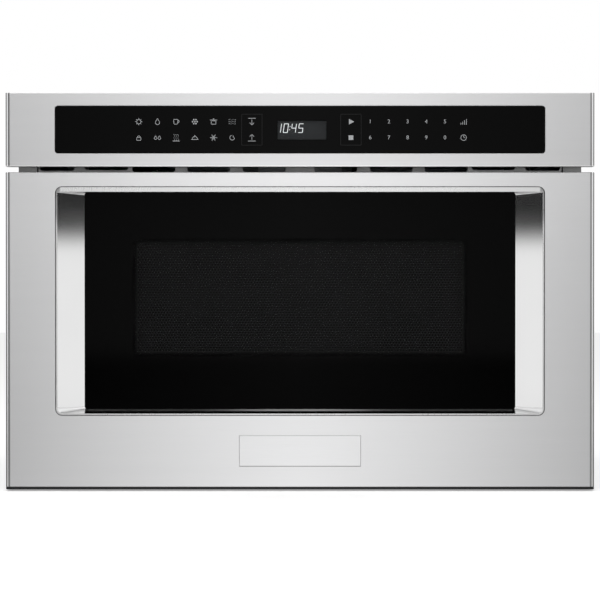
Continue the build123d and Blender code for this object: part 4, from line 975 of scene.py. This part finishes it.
def go_mark(ink):
    ink.face([(-0.26, -0.36), (0.40, 0.0), (-0.26, 0.36)])


def stop_mark(ink):
    ink.face([(-0.3, -0.3), (0.3, -0.3), (0.3, 0.3), (-0.3, 0.3)])


def level_mark(ink):
    for bar in range(4):
        x = bar * 0.26 - 0.39
        ink.line((x, -0.4), (x, bar * 0.18 - 0.2))


def clock_mark(ink):
    ink.arc(0.40)
    ink.line((0.0, 0.0), (0.0, 0.26))
    ink.line((0.0, 0.0), (0.18, 0.0))


# Segments of a seven-segment digit: a at the top, then clockwise, g in the middle.
SEGMENTS = {"0": "abcdef", "1": "bc", "2": "abdeg", "3": "abcdg", "4": "bcfg", "5": "acdfg",
            "6": "acdefg", "7": "abc", "8": "abcdefg", "9": "abcdfg"}


def lit_digits(ink, text):
    """Slanted seven-segment digits, one unit high, that run to the right from the centre."""
    width = 0.48
    step = 0.80
    colon = 0.11
    gap = 0.04
    lean = math.tan(math.radians(8))
    ends = {"a": ((gap, 0.5), (width - gap, 0.5)), "b": ((width, 0.5 - gap), (width, gap)),
            "c": ((width, -gap), (width, gap - 0.5)), "d": ((gap, -0.5), (width - gap, -0.5)),
            "e": ((0.0, -gap), (0.0, gap - 0.5)), "f": ((0.0, 0.5 - gap), (0.0, gap)),
            "g": ((gap, 0.0), (width - gap, 0.0))}

    def leaning(x, z):
        return (x + z * lean, z)

    left = 0.0
    for sign in text:
        if sign == ":":
            for dot in (-0.18, 0.18):
                ink.disc(0.05, leaning(left + (colon + width - step) / 2, dot))
            left += colon
            continue
        for segment in SEGMENTS[sign]:
            start, end = ends[segment]
            ink.line(leaning(left + start[0], start[1]), leaning(left + end[0], end[1]))
        left += step


# ---- Operators -----------------------------------------------------------------
class DRAWER_OT_front(bpy.types.Operator):
    """Gives the front panels, the recess, the plate and the panes their finishes"""
    bl_idname = "microwave_drawer.front"
    bl_label = "Finish the front"

    def execute(self, context):
        dress(brushed_stainless("drawer_stainless"), "drawer_skin")
        # The panel is the drawer's steel painted a tenth darker, as shade.
        dress(brushed_stainless("panel_stainless", lightness=0.90), "control_fascia")
        dress(polished_stainless(), "recess_frame")
        dress(badge_satin(), "badge_plate")
        screen = context.scene.drawer_screen
        fade = 0.008
        centre = (0.0, middle_of(screen_low.z, screen_high.z))
        half = ((screen.window_width + fade) / 2, (screen.window_height + fade) / 2)
        door_glass = printed_glass("door_glass", centre, half, fade, clearness=0.80, gloss=0.03)
        dress(door_glass, "door_glass")
        fade = 0.0008
        margin = 0.0006
        centre = (middle_of(display_low.x, display_high.x), middle_of(display_low.z, display_high.z))
        half = (half_of(display_low.x, display_high.x) + margin,
                half_of(display_low.z, display_high.z) + margin)
        panel_glass = printed_glass("panel_glass", centre, half, fade, clearness=0.85, gloss=0.04)
        dress(panel_glass, "control_glass")
        dress(inner_pane(), "inner_glass")
        dress(moulded("dark_moulding", (0.012, 0.012, 0.013), roughness=0.42),
              "lower_trim", "choke_cover", "control_housing", "cord_gland")
        dress(satin_paint("door_paint", (0.025, 0.026, 0.028)), "door_frame")
        dress(display_face(), "display_module")
        return {"FINISHED"}


class DRAWER_OT_casing(bpy.types.Operator):
    """Gives the casing, the duct, the flanges and the feet their finishes"""
    bl_idname = "microwave_drawer.casing"
    bl_label = "Finish the casing"

    def execute(self, context):
        dress(spangled_sheet("casing_steel", (0.42, 0.43, 0.45), (0.58, 0.59, 0.60), size=0.014,
                             roughness=0.34),
              "base_plate", "side_panel_left", "side_panel_right", "top_cover", "rear_panel",
              "slide_brackets")
        dress(spangled_sheet("flange_steel", grey(0.40), grey(0.55), size=0.010, roughness=0.45),
              "mounting_flanges", "vent_grille", "cavity_front_plate")
        # The duct's near-black colour is painted shade, so its inside reads dark through the vents.
        dress(satin_paint("duct_painted_shade", grey(0.004), roughness=0.8), "exhaust_duct")
        regrouped("feet", "housing", "foot_rubber", [rubber()], only_part, bevel=0.0005)
        return {"FINISHED"}


class DRAWER_OT_cavity(bpy.types.Operator):
    """Gives the cooking space, the basket, the tray and the stirrer their finishes"""
    bl_idname = "microwave_drawer.cavity"
    bl_label = "Finish the cavity"

    def execute(self, context):
        dress(enamel("cavity_enamel", (0.42, 0.43, 0.44), (0.16, 0.17, 0.18)),
              "cavity_floor", "cavity_ceiling", "cavity_walls")
        dress(mica(), "stirrer_cover")
        dress(moulded("basket_plastic", (0.60, 0.61, 0.61), roughness=0.36, grain=0.0016, sheen=0.4),
              "basket_walls")
        dress(tray_glass(), "glass_tray")
        dress(plated_sheet("duct_aluminium", (0.74, 0.75, 0.76), (0.84, 0.84, 0.85), roughness=0.30,
                           along=0.02),
              "waveguide", "stirrer_blade")
        return {"FINISHED"}


class DRAWER_OT_running_gear(bpy.types.Operator):
    """Gives the slides, the rails, the balls, the racks and the cross shaft their finishes"""
    bl_idname = "microwave_drawer.running_gear"
    bl_label = "Finish the running gear"

    def execute(self, context):
        plate = plated_sheet("plated_steel", (0.60, 0.61, 0.63), (0.76, 0.77, 0.79), roughness=0.24)
        dress(plate, "slide_outer_members", "slide_middle_members", "slide_inner_members",
              "sled_rails", "control_cover")
        ball = plated_sheet("ball_steel", (0.78, 0.78, 0.79), (0.86, 0.86, 0.87), roughness=0.08)
        for node, body in (("outer_ball_cages", "outer_cages"), ("inner_ball_cages", "inner_cages")):
            regrouped(node, body, "plated_steel", [plate, ball], cage_part, degrees=50)
        dress(turned_metal("gear_steel", (0.62, 0.62, 0.64), roughness=0.28), "drive_shaft")
        dress(moulded("gear_plastic", (0.72, 0.71, 0.67), roughness=0.40, grain=0.0012, sheen=0.4),
              "racks", "motor_gear", "latch_hooks", "shaft_bearings")
        return {"FINISHED"}


class DRAWER_OT_electrics(bpy.types.Operator):
    """Gives the electric parts a finish for each of their solids"""
    bl_idname = "microwave_drawer.electrics"
    bl_label = "Finish the electric parts"

    def execute(self, context):
        board = circuit_board()
        relay = moulded("relay_case", (0.035, 0.05, 0.09), roughness=0.35)
        black = moulded("component_black", (0.02, 0.02, 0.022), roughness=0.4)
        white = moulded("component_white", (0.75, 0.75, 0.72), roughness=0.4)
        can = plated_sheet("can_aluminium", (0.72, 0.73, 0.74), (0.84, 0.84, 0.85), roughness=0.26)
        tab = plated_sheet("tab_brass", (0.62, 0.50, 0.26), (0.74, 0.62, 0.36), roughness=0.26)
        copper = wound_copper()
        motor = spangled_sheet("motor_metal", (0.52, 0.52, 0.53), (0.66, 0.66, 0.67), size=0.008,
                               roughness=0.34)
        fins = plated_sheet("fin_aluminium", (0.76, 0.77, 0.78), (0.86, 0.86, 0.87), roughness=0.28,
                            along=0.03)
        core = laminations()
        cutout = moulded("cutout_resin", (0.30, 0.13, 0.05), roughness=0.35)
        fan = moulded("fan_plastic", (0.05, 0.05, 0.055), roughness=0.4)
        # Node, slot, materials, what tells them apart, and the width of the bevel.
        parts = (
            ("control_board", "board_resin", [board, relay, white, black, can], board_part, 0.0003),
            ("noise_filter_board", "board_resin", [board, copper, white, relay, black], filter_part, 0.0003),
            ("power_transformer", "core_iron", [motor, core, copper], transformer_part, 0.0006),
            ("high_voltage_capacitor", "can_aluminium", [can, motor, tab, black], capacitor_part, 0.0004),
            ("magnetron", "magnetron_metal", [motor, fins, white], magnetron_part, 0.0003),
            ("fan_motor", "motor_metal", [core, copper, motor], fan_motor_part, 0.0004),
            ("drive_motor", "motor_metal", [black, motor], drive_motor_part, 0.0004),
            ("cavity_lamp", "lamp_glass", [white, lamp_glass()], lamp_part, 0.0),
            ("thermal_cutouts", "cutout_resin", [cutout], only_part, 0.0003),
            ("interlock_switches", "dark_plastic", [white, black], switch_part, 0.0004),
        )
        for node, slot, materials, choose, bevel in parts:
            regrouped(node, "housing", slot, materials, choose, bevel)
        dress(motor, "stirrer_motor")
        dress(fan, "fan_blade", "fan_shroud")
        return {"FINISHED"}


# Each of these tells the solids of a node apart by their size or place, and gives the place of a
# solid's finish in the list that goes with the node. The docstrings follow the list's order.
def only_part(low, high):
    return 0


def cage_part(low, high):
    """The cages, and the balls in them."""
    return int(high.y - low.y < 0.01)


def board_part(low, high):
    """The board, the relays, the connectors, the small transformer, the round sounder."""
    size = high - low
    if max(size) > 0.1:
        return 0
    if abs(size.x - size.z) < 0.001:
        return 4
    return 1 if size.x < 0.020 else 2 if size.x < 0.024 else 3


def filter_part(low, high):
    """The board, the coil, the posts, the relay, the capacitor and the fuse."""
    size = high - low
    if size.x > 0.1:
        return 0
    if abs(size.x - size.z) < 0.0005:
        return 2 if size.x < 0.01 else 1
    return 3 if size.z > 0.02 else 4


def transformer_part(low, high):
    """The foot plate, the core, the winding."""
    size = high - low
    return 0 if size.z < 0.01 else 1 if size.x > 0.08 else 2


def capacitor_part(low, high):
    """The can, its strap and its foot, the thin tabs, the diode."""
    size = high - low
    if high.z < 0.06:
        return 1
    return 0 if size.z > 0.05 else 2 if size.y < 0.002 else 3


def magnetron_part(low, high):
    """The yoke, the tube and the filter box, the thin fins, the antenna."""
    size = high - low
    return 1 if size.z < 0.002 else 2 if size.x < 0.02 else 0


def fan_motor_part(low, high):
    """The laminated stack, the coil, the bearing cap."""
    size = high - low
    return 0 if size.x > 0.05 else 1 if size.x > 0.03 else 2


def drive_motor_part(low, high):
    """The gearbox, and the motor's can on its side."""
    return int(low.x > 0.05)


def lamp_part(low, high):
    """The socket and the bulb."""
    return int(high.y - low.y < 0.03)


def switch_part(low, high):
    """The holders and the switches in them."""
    return int(high.z - low.z < 0.02)


class DRAWER_OT_screen(bpy.types.Operator):
    """Puts the perforated sheet behind the door glass"""
    bl_idname = "microwave_drawer.screen"
    bl_label = "Build the window screen"

    def execute(self, context):
        settings = context.scene.drawer_screen
        material = screen_enamel()
        sheet = screen_high.y - screen_low.y
        row_step = settings.pitch * math.sqrt(3) / 2
        field = perforation_tree().grow(bpy.data.meshes.new("empty_sheet"), "screen_holes", {
            "Columns": int(settings.window_width / settings.pitch),
            "Rows": int(settings.window_height / row_step),
            "Pitch": settings.pitch, "Hole": settings.hole, "Sheet": sheet, "Material": material})
        field.data.transform(upright((0.0, screen_low.y, middle_of(screen_low.z, screen_high.z))))
        settle(field, "drawer", "screen_steel", "window_screen")
        border = sheet_border(screen_low, screen_high, settings.window_width / 2 - settings.pitch,
                              settings.window_height / 2 - settings.pitch, material)
        settle(border, "drawer", "screen_steel", "window_screen")
        return {"FINISHED"}


def sheet_border(low, high, inner_x, inner_z, material):
    """A flat frame from the sheet's outline in to an opening about its middle. Its front stands a
    hair before the perforated field's, which it laps over."""
    bm = bmesh.new()
    middle = middle_of(low.z, high.z)
    skin = 0.00002
    rings = []
    for y in (low.y - skin, high.y):
        for half_x, half_z in ((high.x, half_of(low.z, high.z)), (inner_x, inner_z)):
            rings.append([bm.verts.new((side_x * half_x, y, middle + side_z * half_z))
                          for side_x, side_z in ((-1, -1), (1, -1), (1, 1), (-1, 1))])
    front_outer, front_inner, back_outer, back_inner = rings
    for first, second in ((front_outer, front_inner), (front_inner, back_inner), (back_inner, back_outer),
                          (back_outer, front_outer)):
        for corner in range(4):
            after = (corner + 1) % 4
            bm.faces.new([first[corner], first[after], second[after], second[corner]])
    bmesh.ops.recalc_face_normals(bm, faces=bm.faces)
    return object_from(bm, "screen_border", [material])


class DRAWER_OT_print(bpy.types.Operator):
    """Prints the marks and digits on the control glass and lights the display"""
    bl_idname = "microwave_drawer.print"
    bl_label = "Print the control panel"

    def execute(self, context):
        settings = context.scene.drawer_print
        middle = middle_of(glass_low.z, glass_high.z)
        row_step = 0.0082
        rows = (middle + row_step, middle - row_step)
        key_pitch = 0.01922
        first_key = -0.1658
        first_digit = 0.0722
        last_key = first_digit + 5 * key_pitch
        drawer_keys = -0.0495
        start_keys = 0.0524
        pairs = ((gear_mark, lock_mark), (drop_mark, thaw_mark), (cup_mark, warm_mark),
                 (kernels_mark, dome_mark), (pot_mark, flake_mark), (waves_mark, repeat_mark))
        keys = [(first_key + column * key_pitch, 1.0, pair) for column, pair in enumerate(pairs)]
        keys += [(drawer_keys, 1.15, (open_mark, shut_mark)), (start_keys, 1.1, (go_mark, stop_mark)),
                 (last_key, 1.0, (level_mark, clock_mark))]
        ink_gap = 0.00005
        ink = Print(glass_low.y - ink_gap, settings.stroke)
        for x, share, pair in keys:
            for mark, z in zip(pair, rows):
                ink.move_to((x, z), settings.mark_size * share)
                mark(ink)
        for digits, z in zip(("12345", "67890"), rows):
            for column, digit in enumerate(digits):
                ink.move_to((first_digit + column * key_pitch, z), settings.digit_height)
                ink.digit(digit)
        panel_ink = print_ink("panel_ink", tuple(settings.colour))
        settle(ink.piece("panel_print", panel_ink), "housing", "panel_glass")

        frame_width, frame_height = 0.0210, 0.0318
        frames = Print(glass_low.y - ink_gap, settings.stroke * 0.6)
        for x in (drawer_keys, start_keys):
            frames.box(frame_width, frame_height, (x, middle))
        outline_ink = print_ink("outline_ink", (0.022, 0.022, 0.023))
        settle(frames.piece("panel_outlines", outline_ink), "housing", "panel_glass")

        display_gap = 0.0003
        lit_stroke = 0.00062
        lit_left = -0.0239
        lit_rise = 0.0016
        lit_height = 0.0090
        lights = Print(display_low.y - display_gap, lit_stroke)
        lights.move_to((lit_left, middle + lit_rise), lit_height)
        lit_digits(lights, settings.display_text)
        light_ink = print_ink("display_light", tuple(settings.display_colour), glow=0.85)
        settle(lights.piece("display_digits", light_ink), "housing", "display_plastic")
        return {"FINISHED"}


class DRAWER_OT_screws(bpy.types.Operator):
    """Puts cross-recess screws where the frame has its plain ones"""
    bl_idname = "microwave_drawer.screws"
    bl_label = "Build the screws"

    def execute(self, context):
        zinc = plated_sheet("screw_zinc", (0.66, 0.67, 0.70), (0.80, 0.81, 0.84), roughness=0.24,
                            along=0.004)
        shape = screw_shape(context.scene.drawer_screws)
        growth = fastener_tree()
        for node, body in (("housing_screws", "housing"), ("drawer_screws", "drawer")):
            places = screw_places(node, context.scene.drawer_screws)
            screws = growth.grow(places, node + "_cross", {"Screw": shape, "Material": zinc})
            shade_by_angle(screws.data)
            settle(screws, body, "screw_zinc", node)
        bpy.data.objects.remove(shape)
        return {"FINISHED"}


# Shares of a screw head's radius and height, from its crown to its underside.
HEAD_PROFILE = ((0.0, 1.0), (0.55, 1.0), (0.86, 0.78), (1.0, 0.3), (1.0, 0.0))


def screw_shape(settings):
    """One screw along Z: its head's underside at 0, its shank upwards, a cross cut into its head."""
    radius, height = settings.head_radius, settings.head_height
    shank, length = settings.shank_radius, settings.shank_length
    profile = [(radius * across, -height * up) for across, up in HEAD_PROFILE]
    thread_pitch = 0.0007
    root, tip = shank * 0.82, shank * 0.6
    for turn in range(int(length / thread_pitch)):
        profile += [(root, turn * thread_pitch), (shank, (turn + 0.5) * thread_pitch)]
    profile += [(tip, length), (0.0, length)]
    bm = bmesh.new()
    verts = [bm.verts.new((x, 0.0, z)) for x, z in profile]
    edges = [bm.edges.new(pair) for pair in zip(verts, verts[1:])]
    bmesh.ops.spin(bm, geom=verts + edges, axis=(0, 0, 1), cent=(0, 0, 0), angle=math.tau, steps=28)
    closeness = 1e-7
    bmesh.ops.remove_doubles(bm, verts=bm.verts, dist=closeness)
    bmesh.ops.recalc_face_normals(bm, faces=bm.faces)
    screw = object_from(bm, "screw_shape", [])
    cutter = bmesh.new()
    slot_length, slot_width, slot_depth = radius * 1.1, radius * 0.26, height * 1.3
    for size in ((slot_length, slot_width, slot_depth), (slot_width, slot_length, slot_depth)):
        place = Matrix.Translation((0, 0, -height)) @ Matrix.Diagonal((*size, 1.0))
        bmesh.ops.create_cube(cutter, size=1.0, matrix=place)
    cross = object_from(cutter, "cross_cutter", [])
    cut = screw.modifiers.new("cross", "BOOLEAN")
    cut.operation = "DIFFERENCE"
    cut.solver = "EXACT"
    cut.use_self = True
    cut.object = cross
    baked(screw)
    bpy.data.objects.remove(cross)
    return screw


def screw_places(node, settings):
    """A mesh with a point at each screw's head, and the way its shank runs as an attribute."""
    bm = bmesh.new()
    bm.from_mesh(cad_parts[node].data)
    bmesh.ops.remove_doubles(bm, verts=bm.verts, dist=seam)
    points, ways = [], []
    for group in solids_of(bm):
        low, high = bounds_of(group)
        size = high - low
        axis = min(range(3), key=lambda index: size[index])
        middle = (low + high) / 2
        # Only the head reaches this far from the screw's axis.
        reach = settings.head_radius * 0.9
        wide = [vert.co[axis] for face in group for vert in face.verts
                if math.sqrt(sum((vert.co[i] - middle[i]) ** 2 for i in range(3) if i != axis)) > reach]
        head = sum(wide) / len(wide)
        way = Vector((0, 0, 0))
        way[axis] = 1.0 if head < middle[axis] else -1.0
        seat = middle.copy()
        seat[axis] = (low[axis] if way[axis] > 0 else high[axis]) + way[axis] * settings.head_height
        points.append(seat)
        ways.append(way)
    bm.free()
    mesh = bpy.data.meshes.new(node + "_places")
    mesh.from_pydata(points, [], [])
    along = mesh.attributes.new("along", "FLOAT_VECTOR", "POINT")
    for index, way in enumerate(ways):
        along.data[index].vector = way
    return mesh


# ---- Studio --------------------------------------------------------------------
def lit_surface(name, build):
    """A stage material that gives off the grey light worked out by build(finish)."""
    finish = Finish(name)
    finish.add_output(finish.add("ShaderNodeEmission", {"Color": build(finish), "Strength": 1.0}))
    return finish.material


def standing(start, end, low, high):
    """Corners of an upright card over the line from start to end on the floor."""
    return [(*start, low), (*end, low), (*end, high), (*start, high)]


def card(name, corners, material, glossy_only=True):
    """A flat card; a glossy-only one is seen in reflections alone."""
    bm = bmesh.new()
    bm.faces.new([bm.verts.new(corner) for corner in corners])
    obj = object_from(bm, name, [material])
    if glossy_only:
        obj.visible_camera = False
        obj.visible_diffuse = False
        obj.visible_transmission = False
        obj.visible_shadow = False
    return obj


def front_light(finish):
    """Brightest opposite the middle of the front, falling off to the sides."""
    x, z = (finish.axis(letter) for letter in "XZ")
    middle_level, side_fall, upward_fall, least_level = 1.98, 1.60, 0.06, 0.2
    return (middle_level - side_fall * abs(x) - upward_fall * z).most(least_level)


def floor_light(finish):
    """What is reflected of the floor: further ahead it falls off to the sides, as the card does."""
    x, y = (finish.axis(letter) for letter in "XY")
    beside = finish.span(abs(x), 0.95, 1.15) * finish.span(y, -1.45, -1.25)
    middle_level, side_fall, least_level, beside_level = 1.02, 2.10, 0.15, 0.9
    ahead = (middle_level - side_fall * abs(x)).most(least_level)
    return ahead * (1.0 - beside) + beside_level * beside


def wall_light(finish):
    """Bright at the bottom and dark at the top, for the sides of the recess."""
    z = finish.axis("Z")
    dark_level, dim_rise, bright_rise = 0.007, 0.05, 0.88
    dim = finish.span(z, 0.318, 0.275, 0.0, dim_rise)
    return dark_level + dim + finish.span(z, 0.280, 0.235, 0.0, bright_rise)


def floor_finish():
    """A pale floor: white to the eye, with the object's soft shadow on it."""
    finish = Finish("studio_floor")
    seen = finish.add("ShaderNodeLightPath", output="Is Camera Ray")
    glossy = finish.add("ShaderNodeLightPath", output="Is Glossy Ray")
    glow_level = 0.37
    diffuse = finish.add("ShaderNodeBsdfDiffuse", {"Color": grey(0.80)})
    glow = finish.add("ShaderNodeEmission", {"Color": glow_level * seen, "Strength": 1.0})
    pale = finish.add("ShaderNodeAddShader", {0: diffuse, 1: glow})
    reflected = finish.add("ShaderNodeEmission", {"Color": floor_light(finish), "Strength": 1.0})
    finish.add_output(finish.add("ShaderNodeMixShader", {0: glossy, 1: pale, 2: reflected}))
    return finish.material


def area_light(name, place, target, size, power):
    """A rectangular light at a place, turned to its target."""
    data = bpy.data.lights.new(name, "AREA")
    data.shape = "RECTANGLE"
    data.size, data.size_y = size
    data.energy = power
    obj = bpy.data.objects.new(name, data)
    obj.location = place
    obj.rotation_euler = (Vector(target) - Vector(place)).to_track_quat("-Z", "Y").to_euler()
    bpy.context.scene.collection.objects.link(obj)


class DRAWER_OT_studio(bpy.types.Operator):
    """Sets the floor, the lights, the white surroundings and the camera"""
    bl_idname = "microwave_drawer.studio"
    bl_label = "Set the studio"

    def execute(self, context):
        settings = context.scene.drawer_studio
        self.surroundings(context.scene, settings)
        reach = 6.0
        floor = card("studio_floor", [(-reach, -reach, 0), (reach, -reach, 0), (reach, reach, 0),
                                      (-reach, reach, 0)], floor_finish(), glossy_only=False)
        # A hair under the feet, so that the two never share a plane.
        floor.location.z = -0.0001
        behind_camera = 0.3
        card_y = face_y - settings.camera_distance - behind_camera
        card_half, card_low, card_high = 3.0, -0.4, 2.6
        card("front_card", standing((-card_half, card_y), (card_half, card_y), card_low, card_high),
             lit_surface("front_light", front_light))
        wall_x, wall_front, wall_back, wall_top = 1.4, -1.15, -0.60, 0.35
        wall = lit_surface("wall_light", wall_light)
        for side, x in (("left", -wall_x), ("right", wall_x)):
            card("wall_card_" + side, standing((x, wall_front), (x, wall_back), 0.0, wall_top), wall)
        key = settings.key_power
        area_light("key", (-0.5, -2.6, 2.3), (0, 0, 0.2), (2.4, 1.2), key)
        area_light("fill", (1.6, -2.4, 1.2), (0, 0, 0.2), (1.6, 1.6), key * 0.35)
        area_light("top", (0, 0.1, 2.6), (0, 0, 0), (2.5, 2.5), key * 0.5)
        self.camera(context.scene, settings)
        return {"FINISHED"}

    def surroundings(self, scene, settings):
        """White to the eye, in reflections and through glass; softer where it lights the object."""
        world = bpy.data.worlds.new("studio_world")
        world.use_nodes = True
        scene.world = world
        sky = Tree(world.node_tree)
        seen = sky.add("ShaderNodeLightPath", output="Is Camera Ray")
        for name in ("Is Glossy Ray", "Is Transmission Ray"):
            seen = seen.most(sky.add("ShaderNodeLightPath", output=name))
        level = sky.add("ShaderNodeMapRange", {"Value": seen, "To Min": settings.fill_level, "To Max": 1.0})
        background = sky.nodes["Background"]
        sky.plug(background.inputs["Strength"], 1.0)
        sky.plug(background.inputs["Color"], level)
        scene.view_settings.view_transform = "Standard"

    def camera(self, scene, settings):
        """A camera before the front that looks slightly down at it."""
        data = bpy.data.cameras.new("camera")
        data.lens = data.sensor_width * settings.camera_distance / settings.picture_width
        obj = bpy.data.objects.new("camera", data)
        aim = Vector((0.0, face_y, settings.picture_centre))
        rise = settings.camera_distance * math.tan(settings.camera_rise)
        obj.location = aim + Vector((0.0, -settings.camera_distance, rise))
        obj.rotation_euler = (aim - obj.location).to_track_quat("-Z", "Y").to_euler()
        scene.collection.objects.link(obj)
        scene.camera = obj


class DRAWER_PT_panel(bpy.types.Panel):
    """Settings and steps of the microwave drawer"""
    bl_idname = "DRAWER_PT_panel"
    bl_label = "Microwave Drawer"
    bl_space_type = "VIEW_3D"
    bl_region_type = "UI"
    bl_category = "Microwave Drawer"

    def draw(self, context):
        for name in SETTINGS:
            settings = getattr(context.scene, name)
            box = self.layout.box()
            for key in settings.__annotations__:
                box.prop(settings, key)
        for operator in OPERATORS:
            self.layout.operator(operator.bl_idname)


OPERATORS = (DRAWER_OT_front, DRAWER_OT_casing, DRAWER_OT_cavity, DRAWER_OT_running_gear,
             DRAWER_OT_electrics, DRAWER_OT_screen, DRAWER_OT_print, DRAWER_OT_screws, DRAWER_OT_studio)


def register():
    for group in SETTINGS.values():
        bpy.utils.register_class(group)
    for name, group in SETTINGS.items():
        setattr(bpy.types.Scene, name, bpy.props.PointerProperty(type=group))
    for operator in OPERATORS:
        bpy.utils.register_class(operator)
    bpy.utils.register_class(DRAWER_PT_panel)


def unregister():
    bpy.utils.unregister_class(DRAWER_PT_panel)
    for operator in reversed(OPERATORS):
        bpy.utils.unregister_class(operator)
    for name in SETTINGS:
        delattr(bpy.types.Scene, name)
    for group in SETTINGS.values():
        bpy.utils.unregister_class(group)


def main():
    register()
    steps = bpy.ops.microwave_drawer
    steps.front()
    steps.casing()
    steps.cavity()
    steps.running_gear()
    steps.electrics()
    steps.screen()
    steps.print()
    steps.screws()
    steps.studio()


if __name__ == "__main__":
    main()
